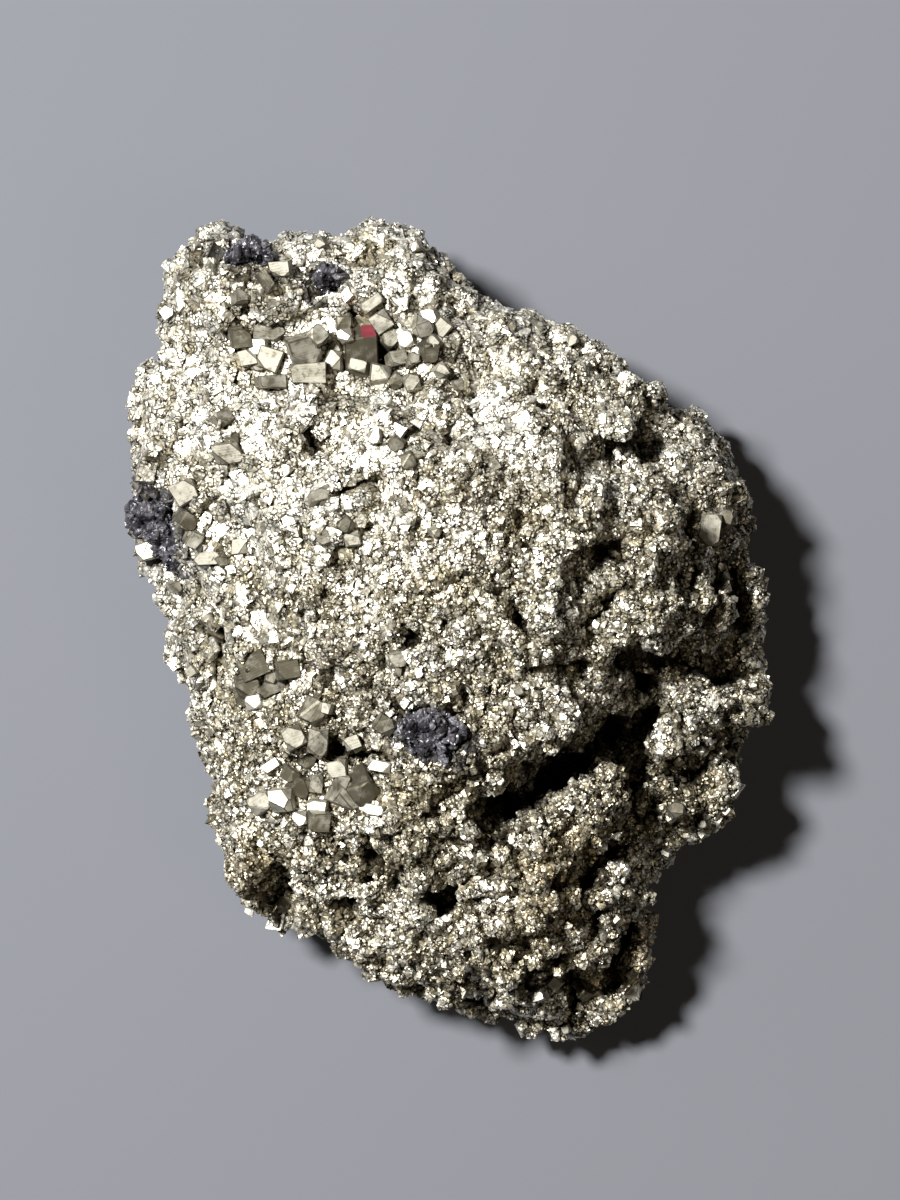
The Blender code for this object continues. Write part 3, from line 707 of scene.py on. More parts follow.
SMALL_CRYSTALS = (
    (-11.6, 29.4, 1.1, 1.0, 30, -12, 2, 2), (-9.2, 27.7, 1.1, 1.6, -10, -12, 4, 2),
    (-10.4, 30.7, 1.3, 1.0, 20, -18, 12, 3), (-1.7, 30.1, 1.1, 1.0, 45, -12, -4, 2),
    (-3.7, 28.5, 1.1, 1.0, 25, -14, 0, 1), (-5.5, 26.2, 1.3, 1.0, 40, 12, -12, 0),
    (-17.8, 26.1, 1.3, 2.0, 2, -9, -10, 1), (-7.8, 34.0, 1.2, 2.0, 35, -15, 10, 2),
    (-18.4, 36.2, 1.2, 2.2, -58, -10, -5, 0), (-13.0, 14.7, 1.3, 1.8, 10, 8, 16, 1),
    (-18.0, -3.3, 1.2, 1.2, 88, -14, -4, 1), (-17.9, -4.5, 1.1, 2.8, 24, -8, -14, 1),
    (-12.4, -6.6, 0.9, 1.2, 80, -12, 0, 2), (-18.0, -12.4, 0.9, 1.9, 32, -12, 0, 3),
    (-7.0, -12.4, 1.1, 1.9, -12, -12, 2, 3), (-13.4, -14.2, 1.2, 1.4, 82, -10, -8, 1),
    (-13.3, -16.4, 1.1, 1.8, -6, -12, 4, 3), (-14.9, -17.6, 1.3, 1.0, 12, -12, 0, 3),
    (-14.2, -12.0, 1.1, 1.2, 70, -8, -12, 0), (-9.8, -10.1, 1.2, 1.3, 20, -14, 8, 2),
    (-7.6, -16.8, 1.0, 1.8, -8, -12, 0, 3), (10.5, -34.3, 1.3, 1.0, 50, -14, 0, 3),
    (25.2, -18.3, 1.0, 1.0, 20, -12, 0, 2), (25.2, -19.3, 0.9, 1.0, 40, -12, 0, 3),
    (-5.2, -2.9, 0.8, 1.3, 80, -12, 0, 0), (11.7, -39.2, 1.0, 1.0, 30, -12, 0, 2),
    (21.6, -21.2, 1.1, 1.0, 30, -12, 0, 3), (-27.5, 5.5, 1.1, 1.0, 20, -14, 0, 1),
    (-25.9, -3.0, 1.1, 1.0, 40, -14, 0, 2), (0.8, 25.8, 1.0, 1.0, 10, -12, 0, 1),
    (4.4, 17.8, 1.1, 1.2, 30, -12, 0, 1), (6.8, -4.8, 0.9, 1.0, 30, -12, 0, 1),
    (-1.4, 11.0, 1.0, 1.0, 30, -12, 0, 1), (12.2, 30.2, 1.1, 1.2, 30, -12, 0, 2),
    (-13.0, 40.0, 1.2, 1.0, 30, -14, 0, 2), (-3.5, 39.6, 1.1, 1.0, 30, -12, 0, 3),
)

# The row of the crystal that is half tarnished red, and the places of its finish and of the dark edges'
# finish among the large crystals' finishes.
RED_CRYSTAL = 9
RED = 1
SEAM = 2

# Narrow black crevices: half width, depth, then x, y at each turn. The longest run along the solid's own.
CREVICES = (
    (0.55, 1.9, (17.3, 13.9), (17.5, 12.2), (17.6, 10.7), (16.8, 9.7), (15.6, 8.6), (14.4, 7.9)),
    (0.55, 1.6, (20.2, 10.8), (18.6, 7.6), (17.2, 5.7), (16.0, 4.2), (14.9, 2.9), (13.8, 2.8)),
    (0.45, 1.4, (12.0, 20.6), (12.6, 19.6), (13.2, 18.0), (13.4, 16.6), (12.9, 15.0)),
    (0.50, 1.6, (13.6, 18.0), (15.2, 19.0), (16.5, 19.9), (18.8, 19.6), (21.0, 18.6)),
    (0.70, 2.2, (19.5, 26.0), (20.0, 23.2), (20.2, 20.0), (20.8, 17.6)),
    (0.65, 2.2, (16.4, -3.4), (18.2, -2.8), (20.0, -2.4), (24.0, -2.3), (27.5, -3.0), (31.0, -3.2)),
    (0.45, 1.5, (10.0, -1.8), (12.0, -2.1), (14.6, -2.2)),
    (0.95, 2.6, (3.6, -17.4), (5.2, -16.7), (7.5, -15.2), (9.8, -13.6), (12.5, -12.0), (15.0, -10.3),
     (17.5, -8.8), (19.8, -7.9), (21.8, -6.9)),
    (0.70, 2.2, (18.8, -9.6), (19.2, -11.4), (19.6, -14.3), (19.5, -16.8), (19.2, -20.0)),
    (0.70, 2.0, (14.6, -21.9), (16.4, -21.4), (19.0, -20.8)),
    (0.75, 2.4, (15.0, -21.8), (14.0, -23.8), (13.7, -25.8), (14.5, -28.3), (15.4, -30.0)),
    (0.55, 1.8, (19.2, -28.0), (17.2, -30.8), (16.4, -33.6)),
    (0.70, 2.2, (1.2, -36.8), (3.6, -36.2), (5.5, -35.4), (8.0, -33.6), (11.0, -32.2), (12.6, -32.0)),
    (0.50, 1.5, (7.4, -28.0), (6.8, -29.8), (5.0, -30.8), (3.4, -30.5)),
    (0.45, 1.2, (11.2, -23.0), (11.0, -25.8)),
    (0.40, 1.1, (-7.8, -21.6), (-8.3, -23.2), (-8.2, -24.8)),
    (0.40, 1.2, (2.8, -22.2), (4.6, -22.4), (6.2, -22.8), (9.5, -21.6)),
    (0.50, 1.6, (12.5, -34.0), (12.0, -36.0), (12.2, -37.9)),
    (0.55, 1.8, (23.6, 15.8), (24.6, 12.0), (24.8, 9.2), (25.0, 3.2), (24.8, -1.6)),
    (0.50, 1.6, (26.7, 13.9), (26.9, 6.0), (26.6, -1.0)),
    (0.50, 1.6, (29.1, 12.4), (29.2, 5.0), (28.8, -1.4)),
    (0.60, 2.0, (19.8, -13.8), (22.0, -13.5), (24.0, -13.2), (28.5, -11.1)),
    (0.40, 1.1, (-15.2, 12.6), (-14.9, 10.8), (-14.3, 9.0)),
    (0.40, 1.1, (-10.5, 9.9), (-11.6, 7.0)),
    (0.35, 0.9, (5.0, 19.6), (4.6, 18.0), (3.5, 16.2), (1.5, 14.6), (0.8, 15.4)),
    (0.35, 1.0, (5.0, 13.4), (5.3, 11.4), (4.6, 10.4), (5.2, 9.2), (6.7, 9.4)),
    (0.35, 1.0, (2.6, 4.2), (4.0, 4.0), (4.8, 4.9)),
    (0.40, 1.3, (-19.2, -3.0), (-18.0, -2.2), (-17.2, -1.8), (-15.3, -2.0), (-14.4, -3.1)),
    (0.45, 1.6, (-13.4, -11.5), (-11.5, -11.2), (-9.5, -11.3), (-7.6, -11.1), (-5.8, -11.2)),
    (0.40, 1.5, (-21.8, 31.9), (-19.4, 31.5), (-17.4, 30.9), (-16.0, 30.5), (-14.4, 31.2)),
    (0.40, 1.3, (-9.4, 33.2), (-8.0, 32.4), (-7.2, 31.4)),
    (0.45, 1.4, (8.4, 8.2), (9.6, 7.2), (11.2, 6.6)),
    (0.40, 1.2, (21.6, 0.6), (22.4, 2.6), (22.2, 4.8)),
    (0.45, 1.4, (6.2, -6.2), (7.6, -7.4), (9.6, -8.0)),
    (0.40, 1.3, (1.2, -12.8), (2.6, -13.9), (4.4, -14.3)),
    (0.45, 1.5, (16.0, -14.0), (16.8, -16.2), (16.4, -18.2)),
    (0.45, 1.4, (22.2, -8.0), (24.4, -8.4), (27.0, -8.2), (29.6, -8.8)),
    (0.35, 1.0, (-3.0, -27.6), (-1.2, -29.4), (1.2, -29.8)),
    (0.40, 1.2, (-19.6, -18.8), (-18.8, -21.8), (-18.9, -25.0)),
)

# Where the ground stands higher, beside the widest crevices: x, y, half length, half width, turn, height.
LIFTS = (
    (11.0, -15.2, 6.5, 2.6, 27, 1.5), (17.8, -11.4, 3.2, 2.4, 60, 1.7), (18.2, -24.8, 3.4, 5.6, 0, 1.9),
    (26.0, 2.5, 3.6, 8.0, 0, 1.4), (18.4, 9.0, 3.4, 2.6, 60, 1.0), (8.4, -36.4, 5.0, 2.6, 15, 2.6),
    (22.8, -16.6, 3.4, 4.6, 0, 1.7),
)

# Round black holes: x, y, half length, half width, turn in degrees, depth.
HOLES = (
    (-13.8, 20.2, 0.75, 0.95, 0, 1.8), (-25.6, 17.0, 0.6, 0.7, 0, 1.4), (-23.3, 0.5, 0.7, 0.8, 0, 1.4),
    (-10.7, 15.1, 1.5, 0.75, 10, 3.2), (-8.4, 15.8, 1.3, 0.8, 0, 3.2), (-3.7, 21.4, 0.8, 1.1, 0, 1.6),
    (-0.5, 20.8, 0.8, 0.7, 0, 1.6), (9.4, 21.6, 1.1, 0.6, 0, 1.8), (-3.8, 0.4, 0.6, 1.1, -35, 2.0),
    (-0.8, 2.0, 0.6, 0.9, 0, 1.5), (-5.6, -6.4, 0.5, 1.3, 15, 1.6), (-6.9, 28.8, 1.4, 1.2, 0, 4.5),
    (-16.0, 30.3, 1.1, 0.8, 0, 4.0), (-8.9, 32.9, 1.1, 0.7, 10, 2.0), (-1.5, -26.1, 1.3, 0.9, 0, 2.6),
    (0.5, -18.6, 0.5, 0.6, 0, 1.2), (7.2, 2.4, 0.55, 1.3, 0, 1.8), (13.0, -4.8, 1.2, 0.8, 0, 2.0),
    (19.0, -4.8, 0.9, 1.0, 0, 2.6), (5.7, -16.6, 1.2, 0.9, 0, 2.4), (-11.7, -10.4, 0.5, 1.2, 0, 1.6),
    (-6.8, -11.1, 1.0, 0.8, 0, 2.0), (8.7, 11.7, 0.5, 0.35, 0, 1.2), (8.8, 14.9, 0.5, 0.7, 20, 1.2),
    (1.0, 15.3, 0.6, 0.6, 0, 1.2), (-0.3, 19.6, 0.4, 0.5, 0, 1.0), (-6.6, 31.2, 0.5, 0.4, 0, 1.2),
    (-17.2, -4.0, 0.5, 0.8, 20, 1.2), (-14.6, -13.4, 0.5, 0.5, 0, 1.2), (-9.4, -16.8, 0.5, 0.4, 0, 1.2),
    (10.6, -19.4, 0.6, 0.5, 0, 1.5), (2.9, 8.4, 0.4, 0.6, 0, 1.0), (17.4, -25.2, 0.5, 0.7, 0, 1.5),
    (0.0, -7.0, 0.8, 0.5, 0, 1.6), (-15.4, -2.0, 0.9, 0.5, 0, 1.6), (22.8, 6.8, 0.5, 0.8, 0, 1.4),
    (14.0, 0.4, 0.5, 0.5, 0, 1.2),
    (3.4, -4.6, 0.4, 0.5, 0, 1.0), (-7.0, 3.6, 0.35, 0.5, 0, 0.9), (-11.0, 24.0, 0.35, 0.5, 0, 0.9),
    (-24.0, 26.0, 0.4, 0.6, 0, 1.0), (-21.2, 13.8, 0.4, 0.4, 0, 1.0), (-15.6, 2.4, 0.4, 0.5, 0, 1.0),
)


@dataclass(frozen=True)
class Relief:
    """The relief that is finer than the solid's: lumps, creases, crevices, holes and pits.

    Args:
        lumps: Wavelength, dome height, facet height and crease depth of each size of lump, in millimetres.
        crease: Half width of a crease, in cells.
        patches: Size of the patches with more or less creases, in millimetres, and how strong the creases are
            there: in the middle, how much that changes, and at most.
        creased: How deep a gap the deepest crease is, from 0 to 1.
        crown: The normal's z from which a surface has crevices, and how soon they are at their full depth.
        wander: How far crevices stray from their lines, in millimetres.
        hole_wander: How far holes' rims stray, in millimetres.
        bends: Size of those bends, in millimetres.
        breadth: Smallest and largest width of a crevice over its row's, and how much it varies between them.
        swells: Size of a crevice's wide stretches, in millimetres.
        level: Depth of a crevice over its row's.
        ends: Depth of a crevice at its ends, as a share, and how fast it deepens from there.
        slopes: How far the walls of crevices, holes and pits slope outwards, over their half widths.
        full: Depth from which a crevice and a pit take the full painted shade of a gap, in millimetres.
        pits: How many small pits the crown has.
        pitted_from: The normal's z from which a surface may have them.
        pit_radius: Smallest and largest pit, in millimetres.
        pit_depth: Shallowest and deepest pit, in millimetres.
        seed: Seed of every draw.
    """

    lumps: tuple[tuple[float, float, float, float], ...] = (
        (3.3, 1.1, 1.05, 0.9), (1.6, 0.6, 1.0, 0.7), (6.4, 0.9, 0.9, 0.7),
    )
    crease: float = 0.14
    patches: tuple[float, float, float, float] = (5.0, 0.55, 1.1, 1.5)
    creased: float = 0.9
    crown: tuple[float, float] = (-0.05, 0.3)
    wander: float = 0.4
    hole_wander: float = 0.6
    bends: float = 2.6
    breadth: tuple[float, float, float] = (0.35, 1.7, 0.9)
    swells: float = 3.4
    level: float = 0.75
    ends: tuple[float, float] = (0.35, 3.0)
    slopes: tuple[float, float, float] = (1.25, 1.6, 1.3)
    full: tuple[float, float] = (1.2, 1.0)
    pits: int = 240
    pitted_from: float = 0.1
    pit_radius: tuple[float, float] = (0.35, 0.75)
    pit_depth: tuple[float, float] = (0.6, 1.5)
    seed: int = 31

    def crevice(
        self, plan: np.ndarray, half_width: np.ndarray, depth: float, turns: tuple[tuple[float, float], ...]
    ) -> np.ndarray:
        """Gives how deep one crevice is at plan places: a steep trough that starts and ends shallow.

        Args:
            plan: Rows of plan x, y.
            half_width: The crevice's half width at each, in millimetres.
            depth: Its depth, in millimetres.
            turns: The plan x, y of its turns.

        Returns:
            The depth at each place, in millimetres.
        """
        shallow, steepness = self.ends
        found = np.zeros(len(plan))
        last = len(turns) - 1
        for number, (start, end) in enumerate(zip(turns, turns[1:])):
            first, run = np.array(start), np.array(end) - np.array(start)
            share = np.clip((plan - first) @ run / (run @ run), 0, 1)
            away = np.linalg.norm(plan - first - share[:, None] * run, axis=1) / half_width
            along = (number + share) / last
            floor = self.level * depth * np.clip(shallow + steepness * np.minimum(along, 1 - along), 0, 1)
            found = np.maximum(found, floor * np.clip(self.slopes[0] - away**2, 0, 1))
        return found

    def cut(self, points: np.ndarray) -> np.ndarray:
        """Gives how deep the named crevices and holes are at points, in millimetres."""
        plan = to_plan(points)
        stray = np.stack([rippled(points, self.bends, 4.1), rippled(points, self.bends, 14.6)], axis=1)
        bent = plan + self.wander * stray
        narrowest, widest, change = self.breadth
        breadth = np.clip(1.0 + change * rippled(points, self.swells, 21.3), narrowest, widest)
        depth = np.zeros(len(plan))
        for half_width, deepest, *turns in CREVICES:
            depth = np.maximum(depth, self.crevice(bent, half_width * breadth, deepest, tuple(turns)))
        holed = plan + self.hole_wander * stray
        for x, y, half_length, half_width, turn, deepest in HOLES:
            along, across = turned(holed, x, y, turn)
            reach = (along / half_length) ** 2 + (across / half_width) ** 2
            depth = np.maximum(depth, deepest * np.clip(self.slopes[1] - reach, 0, 1))
        return depth

    @staticmethod
    def lift(plan: np.ndarray) -> np.ndarray:
        """Gives how much higher the ground stands at plan places, in millimetres."""
        height = np.zeros(len(plan))
        for x, y, half_length, half_width, turn, highest in LIFTS:
            along, across = turned(plan, x, y, turn)
            reach = (along / half_length) ** 2 + (across / half_width) ** 2
            height += highest * np.clip(1 - reach, 0, 1) ** 1.5
        return height

    @staticmethod
    def boldness(plan: np.ndarray) -> np.ndarray:
        """Gives how strong the relief is: calm at the upper end, bold at the lower."""
        return np.clip(0.95 + (0.2 * plan[:, 0] - 0.75 * plan[:, 1]) / 45, 0.65, 1.25)

    def shape(self, points: np.ndarray, normals: np.ndarray) -> tuple[np.ndarray, np.ndarray]:
        """Moves points of the smooth surface into relief.

        Args:
            points: Rows of x, y, z in metres.
            normals: The surface's normals there.

        Returns:
            The moved points, and how deep in a gap each lies, from 0 to 1.
        """
        plan = to_plan(points)
        bold = self.boldness(plan)
        height, hollow = np.zeros(len(points)), np.zeros(len(points))
        patch, usual, change, most = self.patches
        for number, (wavelength, dome, facet, crease) in enumerate(self.lumps):
            cells = celled(points, wavelength, 3.1 + 5.7 * number)
            here = np.clip(usual + change * rippled(points, patch, 9.0 + number), 0, most)
            trough = np.clip(1 - cells.border / self.crease, 0, 1) * here
            height += bold * (dome * (0.5 - cells.middle) + facet * cells.tilt - crease * trough)
            hollow = np.maximum(hollow, self.creased * bold * trough * crease / self.lumps[0][3])
        lowest, fade = self.crown
        crown = np.clip((normals[:, 2] - lowest) / fade, 0, 1)
        cut = self.cut(points) * crown
        moved = points + normals * (height * MM)[:, None]
        moved[:, 2] += (self.lift(plan) * crown - cut) * MM
        moved, pitted = self.pit(moved, normals)
        hollow = np.maximum.reduce([hollow, cut / self.full[0], pitted / self.full[1]])
        return moved, np.clip(hollow, 0, 1)

    def pit(self, points: np.ndarray, normals: np.ndarray) -> tuple[np.ndarray, np.ndarray]:
        """Sinks small pits at random places.

        Args:
            points: Rows of x, y, z in metres.
            normals: The surface's normals there.

        Returns:
            The moved points, and how deep each was pushed, in millimetres.
        """
        chance = np.random.default_rng(self.seed)
        tree = KDTree(len(points))
        for number, point in enumerate(points):
            tree.insert(point, number)
        tree.balance()
        upper = np.flatnonzero(normals[:, 2] > self.pitted_from)
        slope = self.slopes[2]
        depth = np.zeros(len(points))
        for start in chance.choice(upper, self.pits):
            radius = chance.uniform(*self.pit_radius)
            deepest = chance.uniform(*self.pit_depth)
            for _, other, away in tree.find_range(points[start], radius * slope * MM):
                here = deepest * min(max(slope - (away / (radius * MM)) ** 2, 0.0), 1.0)
                depth[other] = max(depth[other], here)
        return points - normals * (depth * MM)[:, None], depth


@dataclass(frozen=True)
class Seat:
    """Where one large crystal sits.

    Args:
        middle: Its middle, in metres.
        axes: Its axes, as the columns of a matrix.
        half: Its half sizes, in metres.
        bright: How bright it is, from 0 to 3.
    """

    middle: Vector
    axes: Matrix
    half: Vector
    bright: int


# Where the ray casts start, in metres, the height in millimetres that the first takes for granted, and how
# often the place and the height are worked out in turns.
OVER_ALL = 0.1
FIRST_GUESS = 30.0
GUESSES = 4


@dataclass
class LargeCrystals:
    """The cube crystals of the hollows and the surface, grown into the mass.

    Args:
        proud: Share of the edge that a middle stands over the solid's surface, as in the solid.
        lift: Share of the edge that it stands higher than in the solid.
        sunk: Share of the edge that a crystal outside the hollows stands lower, as grain grew round it.
        outlying: Size of a crystal outside the hollows over its row's.
        hollows: Plan x, y, half length and half width of the hollows that the crystals line.
        stray: How far a crystal's lean may stray from its row, in degrees.
        glance: How far the white crystals lean to the left, in degrees.
        lit_and_shaded_tones: The tone of each brightness: pale tones paint a crystal as lit, deep ones as
            shaded.
        rough: The roughness of each brightness.
        tone_spread: How far a crystal's tone may stray.
        rough_spread: How far its roughness may stray.
        root: Share of the edge that the foot reaches further down.
        bevel: Width of the worn edges, as a share of the edge.
        seam: A face narrower than this share of half the edge is a worn edge, which is darker.
        wear: Smallest and largest width of a crystal's worn edges over the bevel.
        overhead: How far over a top the grain stays away, in millimetres.
        clipped: Smallest and largest depth of a corner that is grown flat, over its shortest side.
        clips: How many corners may be grown flat.
        companions: How many smaller blocks may have grown into a crystal's sides.
        companion_size: Smallest and largest of those over the crystal.
        companion_aside: How far they lie aside, as shares of half the crystal, at least and at most.
        companion_under: How far they lie under its middle, likewise.
        companion_finish: How much darker and duller than the crystal they may be, and the dullest of all.
        clip_way: How far a corner's flat leans to each side, at least and at most.
        tarnish: Where the red half starts, as a share of half the length, and how level its faces are.
        skew: How far corners stray, as a share of half the edge.
        askew: How far those blocks lean from the crystal, in degrees.
        seed: Seed of every draw.
    """

    proud: float = 0.22
    lift: float = -0.02
    sunk: float = 0.12
    outlying: float = 0.84
    hollows: tuple[tuple[float, float, float, float], ...] = (
        (-9.5, 29.8, 14.0, 5.5), (-13.5, -10.0, 9.5, 9.5), (26.7, 11.7, 3.0, 3.0),
    )
    stray: float = 12.0
    glance: float = 10.0
    lit_and_shaded_tones: tuple[float, ...] = (0.08, 0.24, 0.36, 0.66)
    rough: tuple[float, ...] = (0.60, 0.68, 0.76, 0.56)
    tone_spread: float = 0.06
    rough_spread: float = 0.05
    root: float = 1.0
    bevel: float = 0.035
    seam: float = 0.2
    wear: tuple[float, float] = (0.6, 2.0)
    overhead: float = 0.7
    clipped: tuple[float, float] = (0.204, 0.765)
    clips: tuple[int, ...] = (1, 2, 3, 4)
    companions: tuple[int, ...] = (0, 0, 0, 1, 2)
    companion_size: tuple[float, float] = (0.35, 0.75)
    companion_aside: tuple[float, float] = (0.3, 1.0)
    companion_under: tuple[float, float] = (0.1, 0.7)
    companion_finish: tuple[float, float, float] = (0.4, 0.15, 0.8)
    clip_way: tuple[float, float] = (0.35, 1.0)
    tarnish: tuple[float, float] = (0.1, 0.8)
    skew: float = 0.16
    askew: float = 9.0
    seed: int = 11
    seats: list[Seat] = field(default_factory=list)

    def lean(self, right: float, up: float, bright: int, chance: random.Random) -> Matrix:
        """Draws how one crystal leans: the white ones towards the light, the others away from it.

        Args:
            right: How far its row leans it to the right, in degrees.
            up: How far its row leans it up the long side, in degrees.
            bright: How bright it is, from 0 to 3.
            chance: The draws.

        Returns:
            The lean as a rotation.
        """
        stray = self.stray / max(bright, 1)
        if bright > 1:
            right, up = -self.glance * (bright - 1) / 2, 0
        right = (right if bright > 1 else abs(right)) + chance.uniform(-stray, stray)
        up += chance.uniform(-stray, stray)
        return Euler((math.radians(-up), math.radians(right), 0)).to_matrix()

    def lined(self, x: float, y: float) -> bool:
        """Says whether a plan place lies in one of the hollows."""
        reaches = [((x - a) / across) ** 2 + ((y - b) / tall) ** 2 for a, b, across, tall in self.hollows]
        return min(reaches) < 1

    def find_seats(self, solid: BVHTree) -> None:
        """Works out where each crystal lies on the solid mass.

        A crystal's height and how far its place is drawn in depend on each other, so they take turns.

        Args:
            solid: The solid mass, for ray casts.
        """
        rows = [(row, True) for row in CRYSTALS] + [(row, False) for row in SMALL_CRYSTALS]
        chance = random.Random(self.seed + 1)
        for (x, y, edge, stretch, turn, right, up, bright), fused in rows:
            axes = self.lean(right, up, bright, chance) @ Matrix.Rotation(math.radians(turn), 3, "Z")
            half = Vector((edge * stretch, edge, edge)) / 2
            rise = min(side / max(abs(axes[2][number]), 1e-6) for number, side in enumerate(half))
            height = FIRST_GUESS
            for _ in range(GUESSES):
                place = drawn_in(x, y, height)
                hit = solid.ray_cast(Vector((place[0] * MM, place[1] * MM, OVER_ALL)), Vector((0, 0, -1)))[0]
                top = hit.z / MM if hit else height
                height = top - rise - self.proud * edge if fused else top
            height += float(Relief.lift(np.array([[x, y]]))[0])
            sunk, size = (0.0, MM) if self.lined(x, y) else (self.sunk, self.outlying * MM)
            middle = height + (self.proud + self.lift - sunk) * edge
            self.seats.append(Seat(Vector((*place, middle)) * MM, axes, half * size, bright))

    def covers(self, points: np.ndarray, margin: float) -> np.ndarray:
        """Says which points lie inside a crystal or just over its top.

        Args:
            points: Rows of x, y, z in metres.
            margin: How far outside a face still counts, in metres.

        Returns:
            True for each point inside.
        """
        inside = np.zeros(len(points), bool)
        for seat in self.seats:
            away = (points - np.array(seat.middle)) @ np.array(seat.axes)
            reach = np.array(seat.half) + margin
            beside = np.all(np.abs(away[:, :2]) < reach[:2], axis=1)
            inside |= beside & (away[:, 2] > -reach[2]) & (away[:, 2] < reach[2] + self.overhead * MM)
        return inside

    def grow(self, crust: bmesh.types.BMesh, number: int, seat: Seat, chance: random.Random) -> None:
        """Adds one crystal to the crust.

        Args:
            crust: The bmesh of all crystals.
            number: The crystal's number.
            seat: Where it sits.
            chance: The draws.
        """
        # Painted light and shade: the crystal's tone follows how bright it looks, pale when lit and deep when
        # shaded.
        shade = self.lit_and_shaded_tones[seat.bright] + chance.uniform(-self.tone_spread, self.tone_spread)
        dull = self.rough[seat.bright] + chance.uniform(-self.rough_spread, self.rough_spread)
        self.block(crust, seat, Vector(), 1.0, (shade, dull), number == RED_CRYSTAL, chance)
        darker, duller, dullest = self.companion_finish
        for _ in range(chance.choice(self.companions)):
            share = chance.uniform(*self.companion_size)
            sides = chance.choice((-1, 1)), chance.choice((-1, 1))
            way = Vector((*sides, -chance.uniform(*self.companion_under)))
            apart = chance.uniform(*self.companion_aside), chance.uniform(*self.companion_aside)
            aside = way * Vector((*apart, 1.0)) * seat.half
            finish = shade - chance.uniform(0.0, darker), min(dull + chance.uniform(0.0, duller), dullest)
            self.block(crust, seat, aside, share, finish, False, chance)

    def block(
        self, crust: bmesh.types.BMesh, seat: Seat, aside: Vector, share: float, finish: tuple[float, float],
        red: bool, chance: random.Random,
    ) -> None:
        """Adds one block of a crystal: the crystal itself, or one grown into its side.

        Args:
            crust: The bmesh of all crystals.
            seat: Where the crystal sits.
            aside: How far the block's middle lies from the crystal's, along its axes.
            share: The block's size over the crystal's.
            finish: Its tone and dullness.
            red: Whether half its top is tarnished red.
            chance: The draws.
        """
        tone, dullness = (crust.verts.layers.float[name] for name in ("tone", "dullness"))
        stripe = crust.loops.layers.float["stripe"]
        half = seat.half * share
        made = self.cuboid(crust, half, chance)
        top = [vertex.co.copy() for vertex in made if vertex.co.z > 0]
        for corner in [] if red else chance.sample(top, chance.choice(self.clips)):
            made = self.clip(crust, made, corner, chance)
        faces, edges = self.around(made)
        start, level = self.tarnish
        if red:
            halved = bmesh.ops.bisect_plane(
                crust, geom=faces + edges + made, plane_co=(half.x * start, 0, 0), plane_no=(1, 0, 0)
            )
            faces = [item for item in halved["geom"] if isinstance(item, bmesh.types.BMFace)]
        for face in faces:
            face.normal_update()
            across = (max(range(3), key=lambda axis: abs(face.normal[axis])) + 2) % 3
            tarnished = red and face.normal.z > level and face.calc_center_median().x > 0
            face.material_index = RED if tarnished else 0
            for loop in face.loops:
                loop[stripe] = loop.vert.co[across] / MM
        body = self.worn(crust, [edge for edge in edges if edge.is_valid], half.y, chance)
        for vertex in body:
            vertex[tone], vertex[dullness] = finish
        most = self.askew if share < 1 else 0.0
        lean = Euler([math.radians(chance.uniform(-1, 1) * most) for _ in range(3)]).to_matrix()
        place = Matrix.Translation(seat.middle + seat.axes @ aside) @ (seat.axes @ lean).to_4x4()
        bmesh.ops.transform(crust, matrix=place, verts=body)

    @staticmethod
    def around(
        made: list[bmesh.types.BMVert]
    ) -> tuple[list[bmesh.types.BMFace], list[bmesh.types.BMEdge]]:
        """Gives the faces and the edges of a block's vertices."""
        faces = list({face for vertex in made for face in vertex.link_faces})
        edges = list({edge for vertex in made for edge in vertex.link_edges})
        return faces, edges

    def cuboid(
        self, crust: bmesh.types.BMesh, half: Vector, chance: random.Random
    ) -> list[bmesh.types.BMVert]:
        """Adds a slightly skewed cuboid with a long foot, about the origin.

        Args:
            crust: The bmesh of all crystals.
            half: Its half sizes, in metres.
            chance: The draws.

        Returns:
            Its vertices.
        """
        made = bmesh.ops.create_cube(crust, size=2.0)["verts"]
        foot = [vertex for vertex in made if vertex.co.z < 0]
        bmesh.ops.scale(crust, vec=half, verts=made)
        bmesh.ops.translate(crust, vec=(0, 0, -self.root * 2 * half.y), verts=foot)
        for vertex in made:
            vertex.co += Vector([chance.uniform(-1, 1) * self.skew * half.y for _ in range(3)])
        return made

    def worn(
        self, crust: bmesh.types.BMesh, edges: list[bmesh.types.BMEdge], half: float, chance: random.Random
    ) -> list[bmesh.types.BMVert]:
        """Bevels a block's edges, and marks the narrow faces that this makes as dark edges.

        Args:
            crust: The bmesh of all crystals.
            edges: The block's edges.
            half: Half its edge, in metres.
            chance: The draws.

        Returns:
            The block's vertices.
        """
        worn = bmesh.ops.bevel(
            crust, geom=edges, offset=self.bevel * half * 2 * chance.uniform(*self.wear),
            segments=1, profile=0.5, affect="EDGES", material=-1,
        )
        for face in worn["faces"]:
            if min(edge.calc_length() for edge in face.edges) < self.seam * half:
                face.material_index = SEAM
        return list({vertex for face in worn["faces"] for vertex in face.verts})

    def clip(
        self, crust: bmesh.types.BMesh, made: list[bmesh.types.BMVert], corner: Vector, chance: random.Random
    ) -> list[bmesh.types.BMVert]:
        """Cuts one corner off a block flat, as such crystals grow.

        Args:
            crust: The bmesh of all crystals.
            made: The block's vertices.
            corner: The corner's place.
            chance: The draws.

        Returns:
            The block's vertices after the cut.
        """
        faces, edges = self.around(made)
        way = Vector([math.copysign(chance.uniform(*self.clip_way), side) for side in corner]).normalized()
        depth = min(map(abs, corner)) * chance.uniform(*self.clipped)
        cut = bmesh.ops.bisect_plane(
            crust, geom=made + edges + faces, plane_co=corner - way * depth, plane_no=way, clear_outer=True
        )
        rim = [item for item in cut["geom_cut"] if isinstance(item, bmesh.types.BMEdge)]
        bmesh.ops.contextual_create(crust, geom=rim)
        left = {item for item in cut["geom"] if isinstance(item, bmesh.types.BMVert)}
        return list(left | {vertex for edge in rim for vertex in edge.verts})

